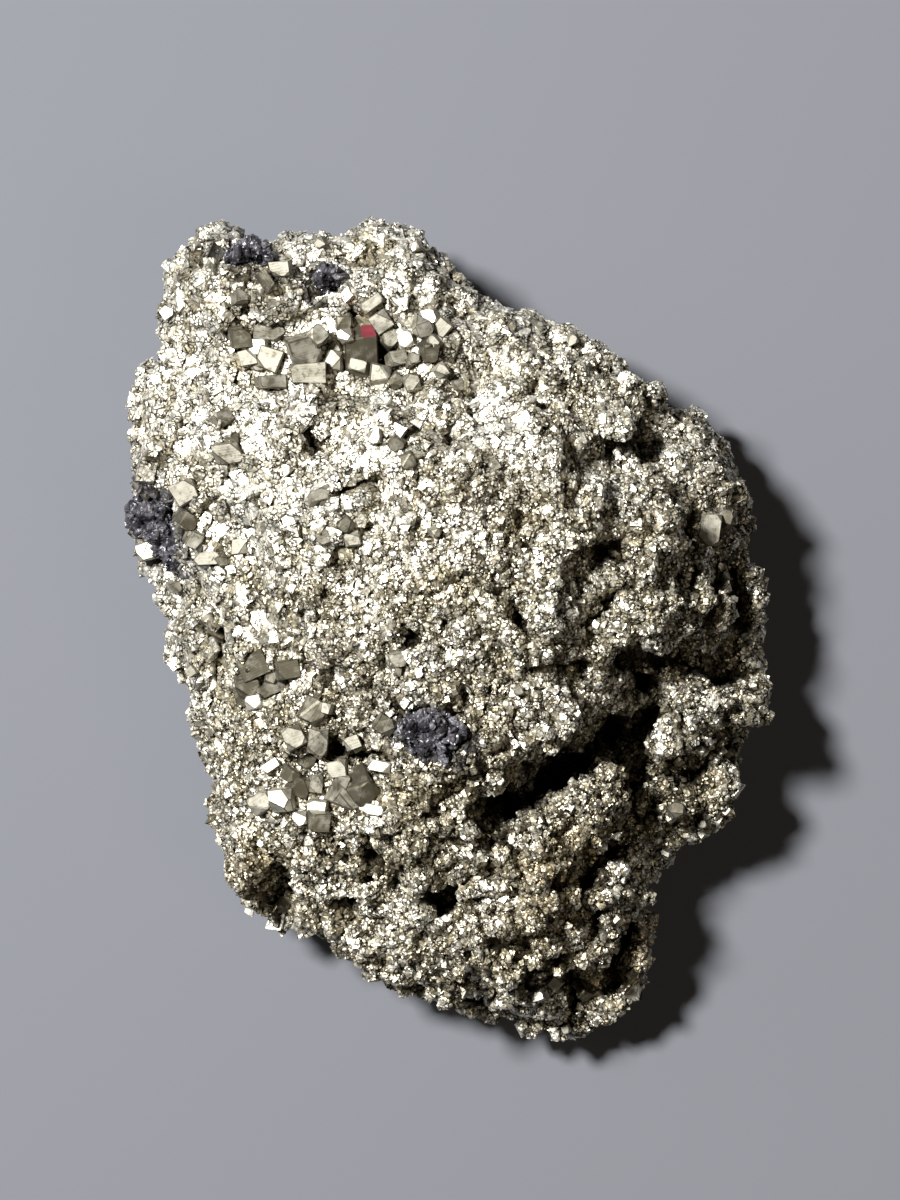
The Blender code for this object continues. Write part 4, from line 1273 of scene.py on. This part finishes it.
    def build(self) -> bpy.types.Object:
        """Builds every crystal as one piece, with worn edges and growth lines."""
        crust = bmesh.new()
        crust.verts.layers.float.new("tone")
        crust.verts.layers.float.new("dullness")
        crust.loops.layers.float.new("stripe")
        chance = random.Random(self.seed)
        for number, seat in enumerate(self.seats):
            self.grow(crust, number, seat, chance)
        mesh = meshed(crust, "large_crystals")
        write_points(mesh, kept_in_box(read_points(mesh)))
        mesh.materials.append(CRYSTAL_FINISH.material())
        mesh.materials.append(RED_FINISH.material())
        mesh.materials.append(SEAM_FINISH.material())
        piece = shown("large_crystals", mesh)
        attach(piece, ROOT)
        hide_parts("pyrite_mass")
        return piece


@dataclass(frozen=True)
class Tints:
    """Where iron stain and dark mineral tint the grains.

    Args:
        rust: Plan x, y, reach and strength of each iron stain.
        gloom: Plan x, y, reach and strength of each patch that the dark mineral tints.
    """

    rust: tuple[tuple[float, float, float, float], ...] = (
        (10.5, -24.5, 4.5, 0.45), (-19.5, -22.8, 2.2, 0.5), (18.5, -32.0, 3.5, 0.5), (12.5, -33.5, 2.5, 0.4),
        (14.0, -21.0, 3.0, 0.35),
    )
    gloom: tuple[tuple[float, float, float, float], ...] = (
        (-17.0, 23.7, 1.8, 0.25), (10.5, 20.2, 2.0, 0.25), (1.5, -10.8, 2.4, 0.8), (-4.8, -8.3, 2.4, 0.9),
        (-4.6, -11.2, 1.4, 0.6), (-20.4, 38.8, 2.5, 0.8), (-12.6, 36.4, 1.9, 0.8), (-27.8, 9.0, 2.6, 1.0),
        (-29.8, 12.4, 1.6, 0.8), (-30.4, 15.4, 1.9, 1.0), (-28.6, 14.6, 1.5, 0.9), (-25.4, 9.4, 1.4, 0.5),
        (3.2, 13.8, 1.5, 0.5), (-9.4, -9.6, 1.2, 0.4),
    )

    def at(self, points: np.ndarray) -> tuple[np.ndarray, np.ndarray]:
        """Gives the rust and the gloom at points.

        Args:
            points: Rows of x, y, z in metres.

        Returns:
            A value from 0 to 1 for each point, for rust and for gloom.
        """
        plan = to_plan(points)
        found = []
        for spots in (self.rust, self.gloom):
            total = np.zeros(len(points))
            for x, y, reach, strength in spots:
                near = np.exp(-((plan[:, 0] - x) ** 2 + (plan[:, 1] - y) ** 2) / reach**2)
                total = np.maximum(total, strength * near)
            found.append(total)
        return found[0], found[1]


@dataclass
class Ground:
    """The mass under the grains: the solid's form, made smooth and then broken finely.

    Args:
        voxel: Size of its cells, in millimetres.
        under: How far it lies under the solid's surface, so that grain tips reach it, in millimetres.
        under_sides: How far it lies under that at the sides, whose grains pass the outline, in millimetres.
        under_crystals: How far it lies under that where a large crystal stands, in millimetres.
        beside: How far round a large crystal it does so, in millimetres.
        turning: How soon a surface that turns up or down stops counting as a side.
        smoothing: Passes that take the solid's facets away.
        relief: Its finer relief.
        seed: Seed of its tones.
    """

    voxel: float = 0.49
    under: float = 0.50
    under_sides: float = 0.55
    under_crystals: float = 0.5
    beside: float = 0.3
    turning: float = 1.6
    smoothing: int = 8
    relief: Relief = Relief()
    seed: int = 5

    def build(self, crystals: LargeCrystals) -> bpy.types.Object:
        """Builds the ground from a copy of the solid mass.

        Args:
            crystals: The large crystals, under which it stays lower.

        Returns:
            The piece.
        """
        piece = shown("pyrite_ground", meshed(merged("pyrite_mass"), "pyrite_ground"))
        evened(piece, self.voxel)
        smooth = piece.modifiers.new("Facets gone", "SMOOTH")
        smooth.factor = 0.5
        smooth.iterations = self.smoothing
        applied(piece)
        points, normals = read_points(piece.data), read_normals(piece.data)
        covered = crystals.covers(points, self.beside * MM)
        steep = np.clip(1 - self.turning * np.abs(normals[:, 2]), 0, 1)
        depth = (self.under + self.under_sides * steep + self.under_crystals * covered) * MM
        shaped, hollow = self.relief.shape(points, normals)
        moved = kept_in_box(np.where(covered[:, None], points, shaped) - normals * depth[:, None])
        write_points(piece.data, moved)
        stain, gloom = Tints().at(moved)
        tone = np.random.default_rng(self.seed).uniform(0.0, 1.0, len(moved))
        # Painted shade: the ground darkens with how deep in a gap it lies.
        for name, values in (("tone", tone), ("stain", stain), ("gloom", gloom), ("grime_and_shade", hollow)):
            write_values(piece.data, name, values)
        piece.data.materials.clear()
        piece.data.materials.append(GROUND_FINISH.material())
        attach(piece, ROOT)
        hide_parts("pyrite_mass")
        return piece


@dataclass(frozen=True)
class Templates:
    """The few crystal shapes that grains are copied from, about one unit across.

    Args:
        wedge_radius: Radius of a wedge's ends.
        wedge_narrow: Width of a wedge over what its radius gives.
        cube_edge: Edge of a cube.
        clipped_edge: Edge of a cube with a corner bitten off.
        bite: How far from the middle the bite passes, along each axis.
        bead_radius: Radius of a bead.
    """

    wedge_radius: float = 0.62
    wedge_narrow: float = 0.95
    cube_edge: float = 0.86
    clipped_edge: float = 0.92
    bite: float = 0.26
    bead_radius: float = 0.52

    def shapes(self) -> list[tuple[np.ndarray, np.ndarray]]:
        """Gives the four shapes, in the order of the shares of a habit."""
        return [self.wedge(), self.cube(), self.clipped_cube(), self.bead()]

    @staticmethod
    def arrays(shape: bmesh.types.BMesh) -> tuple[np.ndarray, np.ndarray]:
        """Turns a shape into arrays.

        Args:
            shape: The bmesh, which is freed.

        Returns:
            Its vertices as rows, and its triangles as rows of indices.
        """
        bmesh.ops.recalc_face_normals(shape, faces=shape.faces)
        bmesh.ops.triangulate(shape, faces=shape.faces)
        shape.verts.index_update()
        points = np.array([vertex.co[:] for vertex in shape.verts])
        faces = np.array([[vertex.index for vertex in face.verts] for face in shape.faces])
        shape.free()
        return points, faces

    def wedge(self) -> tuple[np.ndarray, np.ndarray]:
        """Gives a three sided block with a flat side up, of 8 triangles."""
        shape = bmesh.new()
        bmesh.ops.create_cone(
            shape, cap_ends=True, cap_tris=False, segments=3, radius1=self.wedge_radius,
            radius2=self.wedge_radius, depth=1.0,
        )
        laid = Matrix.Rotation(math.radians(90), 3, "X")
        half_turn = Matrix.Rotation(math.radians(180), 3, "Y")
        bmesh.ops.rotate(shape, verts=shape.verts, matrix=half_turn @ laid)
        highest = max(vertex.co.z for vertex in shape.verts)
        if sum(vertex.co.z > highest - 0.01 for vertex in shape.verts) < 4:
            bmesh.ops.rotate(shape, verts=shape.verts, matrix=half_turn)
        bmesh.ops.scale(shape, vec=(self.wedge_narrow, self.wedge_narrow, 1.0), verts=shape.verts)
        return self.arrays(shape)

    def cube(self) -> tuple[np.ndarray, np.ndarray]:
        """Gives a cube of 12 triangles."""
        shape = bmesh.new()
        bmesh.ops.create_cube(shape, size=self.cube_edge)
        return self.arrays(shape)

    def clipped_cube(self) -> tuple[np.ndarray, np.ndarray]:
        """Gives a cube with one corner bitten off flat."""
        shape = bmesh.new()
        bmesh.ops.create_cube(shape, size=self.clipped_edge)
        cut = bmesh.ops.bisect_plane(
            shape, geom=shape.verts[:] + shape.edges[:] + shape.faces[:], plane_co=[self.bite] * 3,
            plane_no=(1, 1, 1), clear_outer=True,
        )
        rim = [item for item in cut["geom_cut"] if isinstance(item, bmesh.types.BMEdge)]
        bmesh.ops.contextual_create(shape, geom=rim)
        return self.arrays(shape)

    def bead(self) -> tuple[np.ndarray, np.ndarray]:
        """Gives a blunt crystal of 20 triangles."""
        shape = bmesh.new()
        bmesh.ops.create_icosphere(shape, subdivisions=1, radius=self.bead_radius)
        return self.arrays(shape)


@dataclass(frozen=True)
class Variety:
    """How the grains differ within one habit.

    Args:
        sway: Size of the patches that lean one way, in millimetres, and the tangent of how far they do.
        slanting: The way of a slant, as x, y, z.
        sizes: Smallest and largest draw of the size, in standard deviations.
        coarse: Size of the patches of coarser grain, in millimetres, and how much coarser it is.
        length: Smallest and largest length over width.
        patch: Size of the patches of paler grain, in millimetres, and how much paler it is.
        bold: How much darker the grain is where the relief is bold.
        gap_shade: How much darker it is in gaps, as painted shade.
        tone: The middle tone before all that.
        tone_spread: How much the tone differs between neighbours.
        rust: Smallest and largest part of the iron stain that a grain takes.
        gloomy: Smallest and largest gloom of a grain that the dark mineral covers.
        tinted: The part of the gloom that the others take.
    """

    sway: tuple[float, float] = (4.0, 0.13)
    slanting: tuple[float, float, float] = (-1.0, 0.5, 0.0)
    sizes: tuple[float, float] = (-2.0, 1.4)
    coarse: tuple[float, float] = (5.0, 0.22)
    length: tuple[float, float] = (0.8, 1.25)
    patch: tuple[float, float] = (6.0, 0.28)
    bold: float = 0.38
    gap_shade: float = 1.2
    tone: float = 1.08
    tone_spread: float = 0.2
    rust: tuple[float, float] = (0.3, 1.2)
    gloomy: tuple[float, float] = (0.7, 1.0)
    tinted: float = 0.5


@dataclass
class Grains:
    """The fine grains' places and forms, one row for each.

    Args:
        places: Where each meets the ground, in metres.
        facing: The ground's normals there.
        kinds: The habit of each, as its index in Grown.
        hollow: How deep in a gap each lies, from 0 to 1.
        forms: Which template each is copied from.
        axes: The axes of each, as the columns of a matrix.
        sizes: The length, width and thickness of each, in metres.
        middles: The middle of each, in metres.
        tone: How pale each is, from 0 to 1.
        stain: How much iron stain each has, from 0 to 1.
        gloom: How much the dark mineral tints each, from 0 to 1.
    """

    places: np.ndarray
    facing: np.ndarray
    kinds: np.ndarray
    hollow: np.ndarray
    forms: np.ndarray = field(default_factory=lambda: np.empty(0))
    axes: np.ndarray = field(default_factory=lambda: np.empty(0))
    sizes: np.ndarray = field(default_factory=lambda: np.empty(0))
    middles: np.ndarray = field(default_factory=lambda: np.empty(0))
    tone: np.ndarray = field(default_factory=lambda: np.empty(0))
    stain: np.ndarray = field(default_factory=lambda: np.empty(0))
    gloom: np.ndarray = field(default_factory=lambda: np.empty(0))

    def kept(self, rows: np.ndarray) -> "Grains":
        """Gives only the named rows."""
        return Grains(self.places[rows], self.facing[rows], self.kinds[rows], self.hollow[rows])

    def habit(self, name: str) -> np.ndarray:
        """Gives one of the habits' values for each grain."""
        return np.array([getattr(HABITS[kind], name) for kind in Grown])[self.kinds]

    def patches(self, patch: tuple[float, float], seed: float) -> np.ndarray:
        """Gives a value that differs between patches of so many millimetres, by so much at most."""
        wavelength, most = patch
        return most * rippled(self.places, wavelength, seed)

    def draw(self, chance: np.random.Generator) -> None:
        """Draws each grain's form, attitude, size and colour.

        Args:
            chance: The draws.
        """
        ladder = np.cumsum([HABITS[kind].shares for kind in Grown], axis=1)[self.kinds]
        self.forms = (chance.random(len(self.places))[:, None] > ladder[:, :3]).sum(axis=1)
        variety = Variety()
        self.lean(variety, chance)
        self.grow(variety, chance)
        self.colour(variety, chance)

    def lean(self, variety: Variety, chance: np.random.Generator) -> None:
        """Draws each grain's axes.

        Args:
            variety: How much they differ.
            chance: The draws.
        """
        count = len(self.places)
        wild = chance.standard_normal((count, 3))
        wild /= np.linalg.norm(wild, axis=1)[:, None]
        share = (np.sin(np.radians(self.habit("lean"))) * chance.random(count) ** 0.5)[:, None]
        slant = self.habit("slant") + self.patches(variety.sway, 6.1)
        up = self.facing * (1 - share) + wild * share + slant[:, None] * np.array(variety.slanting)
        up[:, 2] += self.habit("level")
        up /= np.linalg.norm(up, axis=1)[:, None]
        side = np.cross(up, chance.standard_normal((count, 3)))
        side /= np.linalg.norm(side, axis=1)[:, None]
        self.axes = np.stack([side, np.cross(up, side), up], axis=2)

    def grow(self, variety: Variety, chance: np.random.Generator) -> None:
        """Draws each grain's size, and puts its middle over its place.

        Args:
            variety: How much they differ.
            chance: The draws.
        """
        count = len(self.places)
        stray = chance.standard_normal(count).clip(*variety.sizes)
        width = self.habit("size") * np.exp(self.habit("spread") * stray) * MM
        width *= 1 + self.patches(variety.coarse, 2.2)
        length = width * chance.uniform(*variety.length, count)
        self.sizes = np.stack([length, width, width * self.habit("flatness")], axis=1)
        self.middles = self.places + self.facing * (width * self.habit("proud"))[:, None]

    def colour(self, variety: Variety, chance: np.random.Generator) -> None:
        """Draws each grain's tone, stain and gloom.

        Args:
            variety: How much they differ.
            chance: The draws.
        """
        count = len(self.places)
        bold = variety.bold * Relief.boldness(to_plan(self.places))
        # Painted shade: a grain's tone drops with how deep in a gap it lies.
        patch = self.patches(variety.patch, 8.8) - bold - variety.gap_shade * self.hollow
        tone = variety.tone + patch + variety.tone_spread * chance.standard_normal(count)
        self.tone = np.clip(tone, 0, 1)
        rust, dark = Tints().at(self.places)
        self.stain = rust * chance.uniform(*variety.rust, count)
        covered = chance.random(count) < dark**2
        self.gloom = np.where(covered, chance.uniform(*variety.gloomy, count), variety.tinted * dark)


# The pieces that the grains are joined into: seven sectors round the middle, and the underside.
AREA_NAMES = (
    "grains_right_flank", "grains_upper_right", "grains_upper_crown", "grains_left_bank",
    "grains_lower_left", "grains_lower_middle", "grains_lower_right", "grains_underside",
)


@dataclass
class GrainCrust:
    """The fine grains that cover the ground.

    Args:
        candidates: How many places are tried.
        bare_hollow: How deep in a gap a place may lie and still bear a grain, if it is lucky.
        luck: How much less deep the unluckiest may lie.
        beside: How far from a large crystal's faces grains stay, in millimetres.
        borders: A habit, and shares of x and y and the sum in millimetres that they pass where it grows.
        wander: Size of those borders' bends and how far they reach, in millimetres.
        hidden: A surface that faces down more than this, as its normal's z, is hidden if it also lies low.
        hidden_under: How low it lies then, in millimetres.
        foot: The height that the hidden grain reaches on every side, in millimetres.
        middle: The plan y of the middle, round which the areas lie.
        overhang: The normal's z of the surfaces that count as the underside.
        root: How high over a grain's foot its painted shade ends, and over what height it fades, as shares of
            the size.
        gap: How deep in a gap painted shade starts, over what depth it deepens, and how thick it gets, from 0
            to 1.
        seed: Seed of every draw.
    """

    candidates: int = 620000
    bare_hollow: float = 1.05
    luck: float = 0.25
    beside: float = 0.02
    borders: tuple[tuple[Grown, float, float, float], ...] = (
        (Grown.PLATY, -0.9, 1.0, 17.0), (Grown.BEADY, 1.0, -0.8, 28.0), (Grown.BEADY, -0.9, -1.0, 30.0),
    )
    wander: tuple[float, float] = (7.0, 7.0)
    hidden: float = -0.3
    hidden_under: float = 17.0
    foot: float = 6.0
    middle: float = 2.0
    overhang: float = -0.15
    root: tuple[float, float] = (0.08, 0.34)
    gap: tuple[float, float, float] = (0.45, 0.45, 0.95)
    seed: int = 20

    def sample(self, mesh: bpy.types.Mesh) -> tuple[np.ndarray, np.ndarray, np.ndarray]:
        """Scatters places evenly by area over the ground.

        Args:
            mesh: The ground's mesh.

        Returns:
            Places and normals, as rows of x, y, z, and how deep in a gap each lies.
        """
        chance = np.random.default_rng(self.seed)
        mesh.calc_loop_triangles()
        corners = np.empty(len(mesh.loop_triangles) * 3, np.int32)
        mesh.loop_triangles.foreach_get("vertices", corners)
        corners = corners.reshape(-1, 3)
        points, normals, hollow = read_points(mesh), read_normals(mesh), read_values(mesh, "grime_and_shade")
        a, b, c = (points[corners[:, side]] for side in range(3))
        area = np.linalg.norm(np.cross(b - a, c - a), axis=1)
        picked = chance.choice(len(corners), self.candidates, p=area / area.sum())
        u, v = chance.random((2, self.candidates))
        over = u + v > 1
        u[over], v[over] = 1 - u[over], 1 - v[over]
        weights = np.stack([1 - u - v, u, v], axis=1)
        rows = corners[picked]
        places = (points[rows] * weights[:, :, None]).sum(axis=1)
        facing = (normals[rows] * weights[:, :, None]).sum(axis=1)
        return places, facing / np.linalg.norm(facing, axis=1)[:, None], (hollow[rows] * weights).sum(axis=1)

    def kinds(self, places: np.ndarray, facing: np.ndarray) -> np.ndarray:
        """Says how the grain has grown at each place.

        Args:
            places: Rows of x, y, z in metres.
            facing: The surface's normals there.

        Returns:
            A number for each place: its index in Grown.
        """
        order = list(Grown)
        plan = to_plan(places)
        bends, reach = self.wander
        stray = rippled(places, bends, 3.7) * reach
        kinds = np.full(len(places), order.index(Grown.SUGARY))
        for grown, across, along, limit in self.borders:
            kinds[plan @ np.array((across, along)) + stray > limit] = order.index(grown)
        height = places[:, 2] / MM
        hidden = (facing[:, 2] < self.hidden) & (height < self.hidden_under)
        kinds[hidden | (height < self.foot)] = order.index(Grown.SPARSE)
        return kinds

    @staticmethod
    def thinned(grains: Grains) -> np.ndarray:
        """Drops places until none is nearer its neighbour than its habit's spacing.

        Args:
            grains: The candidates.

        Returns:
            The numbers of the places that stay.
        """
        tree = KDTree(len(grains.places))
        for number, place in enumerate(grains.places):
            tree.insert(place, number)
        tree.balance()
        spacing = grains.habit("spacing") * MM
        dropped = np.zeros(len(grains.places), bool)
        kept = []
        for number, place in enumerate(grains.places):
            if dropped[number]:
                continue
            kept.append(number)
            for _, other, _ in tree.find_range(place, spacing[number]):
                dropped[other] = True
        return np.array(kept)

    def areas(self, grains: Grains) -> np.ndarray:
        """Says which piece each grain belongs to, as its index in AREA_NAMES."""
        plan = to_plan(grains.places)
        angle = np.degrees(np.arctan2(plan[:, 1] - self.middle, plan[:, 0])) % 360
        sectors = len(AREA_NAMES) - 1
        area = (angle // (360 / sectors)).astype(int)
        area[grains.facing[:, 2] < self.overhang] = sectors
        return area

    def join(
        self, name: str, grains: Grains, inside: np.ndarray, shapes: list[tuple[np.ndarray, np.ndarray]],
        finish: bpy.types.Material, chance: np.random.Generator,
    ) -> bpy.types.Object:
        """Joins one area's grains into one piece.

        Args:
            name: The piece's name.
            grains: All the grains.
            inside: True for each grain of this area.
            shapes: The templates.
            finish: Their material.
            chance: The draws.

        Returns:
            The piece.
        """
        ragged = grains.habit("ragged")
        root, root_fade = self.root
        gap, gap_fade, thickest = self.gap
        points, faces, start = [], [], 0
        values_of: dict[str, list[np.ndarray]] = {"tone": [], "stain": [], "gloom": [], "grime_and_shade": []}
        for form, (corners, triangles) in enumerate(shapes):
            rows = np.flatnonzero(inside & (grains.forms == form))
            stray = chance.uniform(-1, 1, (len(rows), len(corners), 3)) * ragged[rows][:, None, None]
            local = (corners[None] + stray) * grains.sizes[rows][:, None, :]
            leaned = np.einsum("nij,nkj->nki", grains.axes[rows], local)
            placed = leaned + grains.middles[rows][:, None, :]
            above = np.einsum("nki,ni->nk", placed - grains.places[rows][:, None, :], grains.facing[rows])
            # Painted shade: grains darken towards their feet and deep in gaps.
            foot_shade = np.clip((root - above / grains.sizes[rows][:, 1:2]) / root_fade, 0, 1)
            gap_shade = np.clip((grains.hollow[rows] - gap) / gap_fade, 0, thickest)[:, None]
            values_of["grime_and_shade"].append(np.maximum(foot_shade, gap_shade).ravel())
            points.append(placed.reshape(-1, 3))
            offset = start + np.arange(len(rows))[:, None, None] * len(corners)
            faces.append((triangles[None] + offset).reshape(-1, 3))
            for layer in ("tone", "stain", "gloom"):
                values_of[layer].append(np.repeat(getattr(grains, layer)[rows], len(corners)))
            start += len(rows) * len(corners)
        vertices = kept_in_box(np.concatenate(points))
        corners = np.concatenate(faces).astype(np.int32)
        mesh = bpy.data.meshes.new(name)
        mesh.vertices.add(len(vertices))
        mesh.loops.add(corners.size)
        mesh.polygons.add(len(corners))
        mesh.vertices.foreach_set("co", vertices.astype(np.float32).ravel())
        mesh.loops.foreach_set("vertex_index", corners.ravel())
        mesh.polygons.foreach_set("loop_start", np.arange(0, corners.size, 3, dtype=np.int32))
        mesh.update(calc_edges=True)
        mesh.shade_flat()
        for layer, values in values_of.items():
            write_values(mesh, layer, np.concatenate(values))
        mesh.materials.append(finish)
        piece = shown(name, mesh)
        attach(piece, ROOT)
        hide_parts("pyrite_mass")
        log.info("%s: %d triangles", name, len(corners))
        return piece

    def build(self, ground: bpy.types.Mesh, crystals: LargeCrystals) -> list[bpy.types.Object]:
        """Builds the crust as a few joined pieces.

        Args:
            ground: The ground's mesh.
            crystals: The large crystals, whose faces stay bare.

        Returns:
            The pieces.
        """
        places, facing, hollow = self.sample(ground)
        chance = np.random.default_rng(self.seed + 1)
        open_enough = hollow + self.luck * chance.random(len(hollow)) < self.bare_hollow
        free = open_enough & ~crystals.covers(places, self.beside * MM)
        places, facing = places[free], facing[free]
        candidates = Grains(places, facing, self.kinds(places, facing), hollow[free])
        grains = candidates.kept(self.thinned(candidates))
        grains.draw(chance)
        log.info("grains: %d", len(grains.places))
        finish = GRAIN_FINISH.material()
        shapes = Templates().shapes()
        area = self.areas(grains)
        return [
            self.join(name, grains, area == number, shapes, finish, chance)
            for number, name in enumerate(AREA_NAMES)
        ]


# The nodes of the dark mineral, with each lump's width over the solid's.
LUMPS = {
    "dark_mineral_top": 0.88, "dark_mineral_upper": 0.88,
    "dark_mineral_left": 1.0, "dark_mineral_middle": 0.88,
}


@dataclass
class DarkLump:
    """One lump of the dark mineral.

    Args:
        node: The node that it replaces.
        drawn: Its width over the solid's, as grains cover its rim.
        voxel: Size of its cells, in millimetres.
        sunk: How far it lies lower, in millimetres.
        swells: Height and wavelength of its smooth swells, and where in the noise they start.
        knobs: Wavelength, dome height, facet height and crease depth of its knobs, and the same start.
        crease: Half width of a crease, in cells.
    """

    node: str
    drawn: float
    voxel: float = 0.15
    sunk: float = 0.25
    swells: tuple[tuple[float, float, float], ...] = ((0.34, 1.4, 1.9), (0.55, 3.2, 7.7))
    knobs: tuple[tuple[float, float, float, float, float], ...] = (
        (1.6, 0.5, 0.5, 0.4, 1.9), (0.7, 0.2, 0.3, 0.15, 4.4),
    )
    crease: float = 0.2

    def build(self, finish: bpy.types.Material) -> bpy.types.Object:
        """Builds the lump from the solid's form, broken finely.

        Args:
            finish: The dark mineral's material.

        Returns:
            The piece.
        """
        name = self.node + "_lump"
        piece = shown(name, meshed(merged(self.node), name))
        evened(piece, self.voxel)
        applied(piece)
        points, normals = read_points(piece.data), read_normals(piece.data)
        middle = (points.min(axis=0) + points.max(axis=0)) / 2
        points = middle + (points - middle) * np.array((self.drawn, self.drawn, 1.0))
        points[:, 2] -= self.sunk * MM
        height = sum(swell * rippled(points, wavelength, seed) for swell, wavelength, seed in self.swells)
        for wavelength, dome, facet, crease, seed in self.knobs:
            cells = celled(points, wavelength, seed)
            trough = np.clip(1 - cells.border / self.crease, 0, 1)
            height += dome * (0.5 - cells.middle) + facet * cells.tilt - crease * trough
        write_points(piece.data, kept_in_box(points + normals * (height * MM)[:, None]))
        piece.data.materials.clear()
        piece.data.materials.append(finish)
        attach(piece, ROOT)
        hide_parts(self.node)
        return piece


@dataclass(frozen=True)
class Lamp:
    """One soft round lamp.

    Args:
        name: Its name.
        towards: The way from the specimen to it.
        distance: How far away it is, in metres.
        size: Its width, in metres.
        watts: Its power.
        colour: Its colour.
    """

    name: str
    towards: tuple[float, float, float]
    distance: float
    size: float
    watts: float
    colour: tuple[float, float, float] = (1.0, 1.0, 1.0)


LAMPS = (
    Lamp("key", (-0.43, 0.28, 0.87), 0.9, 0.14, 30.5),
    Lamp("side", (-0.85, 0.30, 0.60), 1.0, 0.50, 1.2),
    Lamp("fill", (0.50, -0.25, 0.85), 1.1, 0.35, 1.6, (1.0, 0.88, 0.70)),
)


@dataclass
class Studio:
    """The plain floor, the lamps and the camera.

    Args:
        distance: Camera's distance over the girth, in metres.
        tall: Height of what the camera sees at the girth, in metres.
        sensor: Height of its sensor, in millimetres.
        middle: What it looks down at, as x, y and z in millimetres.
        aim: Height of what the lamps shine at, in metres.
        ground: Half the floor's width, in metres.
        paper: The floor's colour.
        glow: Colour of the light from all round.
        glow_strength: How strong that is.
    """

    distance: float = 0.50
    tall: float = 0.12
    sensor: float = 36.0
    middle: tuple[float, float, float] = (PLAN_SHIFT[0], 4.1 + PLAN_SHIFT[1], GIRTH_HEIGHT)
    aim: float = 0.02
    ground: float = 1.5
    paper: tuple[float, float, float] = (0.098, 0.101, 0.112)
    glow: tuple[float, float, float] = (1.0, 0.97, 0.92)
    glow_strength: float = 0.014

    def floor(self) -> None:
        """Lays a plain floor."""
        shape = bmesh.new()
        bmesh.ops.create_grid(shape, x_segments=1, y_segments=1, size=self.ground)
        mesh = meshed(shape, "floor")
        nodes = Nodes("floor")
        nodes.shader.inputs["Base Color"].default_value = (*self.paper, 1)
        nodes.shader.inputs["Roughness"].default_value = 0.9
        nodes.shader.inputs["Specular IOR Level"].default_value = 0.2
        mesh.materials.append(nodes.material)
        shown("floor", mesh)

    def light(self, lamp: Lamp) -> None:
        """Hangs one lamp."""
        glass = bpy.data.lights.new(lamp.name, "AREA")
        glass.shape = "DISK"
        glass.size = lamp.size
        glass.energy = lamp.watts
        glass.color = lamp.colour
        holder = bpy.data.objects.new(lamp.name, glass)
        way = Vector(lamp.towards).normalized()
        place = Vector((0, 0, self.aim)) + way * lamp.distance
        holder.matrix_world = Matrix.LocRotScale(place, way.to_track_quat("Z", "Y"), None)
        bpy.context.scene.collection.objects.link(holder)

    def camera(self) -> None:
        """Hangs the camera straight over the specimen, as the photograph was taken."""
        lens = bpy.data.cameras.new("camera")
        lens.sensor_fit = "VERTICAL"
        lens.sensor_height = self.sensor
        lens.lens = self.sensor * self.distance / self.tall
        holder = bpy.data.objects.new("camera", lens)
        holder.location = Vector(self.middle) * MM + Vector((0, 0, self.distance))
        bpy.context.scene.collection.objects.link(holder)
        bpy.context.scene.camera = holder

    def world(self) -> None:
        """Fills the shadows faintly."""
        world = bpy.data.worlds.new("studio")
        world.use_nodes = True
        background = world.node_tree.nodes["Background"]
        background.inputs["Color"].default_value = (*self.glow, 1)
        background.inputs["Strength"].default_value = self.glow_strength
        bpy.context.scene.world = world

    def build(self) -> None:
        """Sets up the whole studio."""
        self.floor()
        self.camera()
        self.world()
        for lamp in LAMPS:
            self.light(lamp)
        bpy.context.scene.view_settings.view_transform = "Standard"


def main() -> None:
    """Builds the specimen and its studio."""
    noise.seed_set(NOISE_SEED)
    Studio().build()
    crystals = LargeCrystals()
    solid = merged("pyrite_mass")
    crystals.find_seats(BVHTree.FromBMesh(solid))
    solid.free()
    ground = Ground().build(crystals)
    log.info("ground: %d faces", len(ground.data.polygons))
    crystals.build()
    GrainCrust().build(ground.data, crystals)
    finish = DarkFinish().material()
    for node, drawn in LUMPS.items():
        lump = DarkLump(node, drawn).build(finish)
        log.info("%s: %d faces", lump.name, len(lump.data.polygons))


if __name__ == "__main__":
    main()
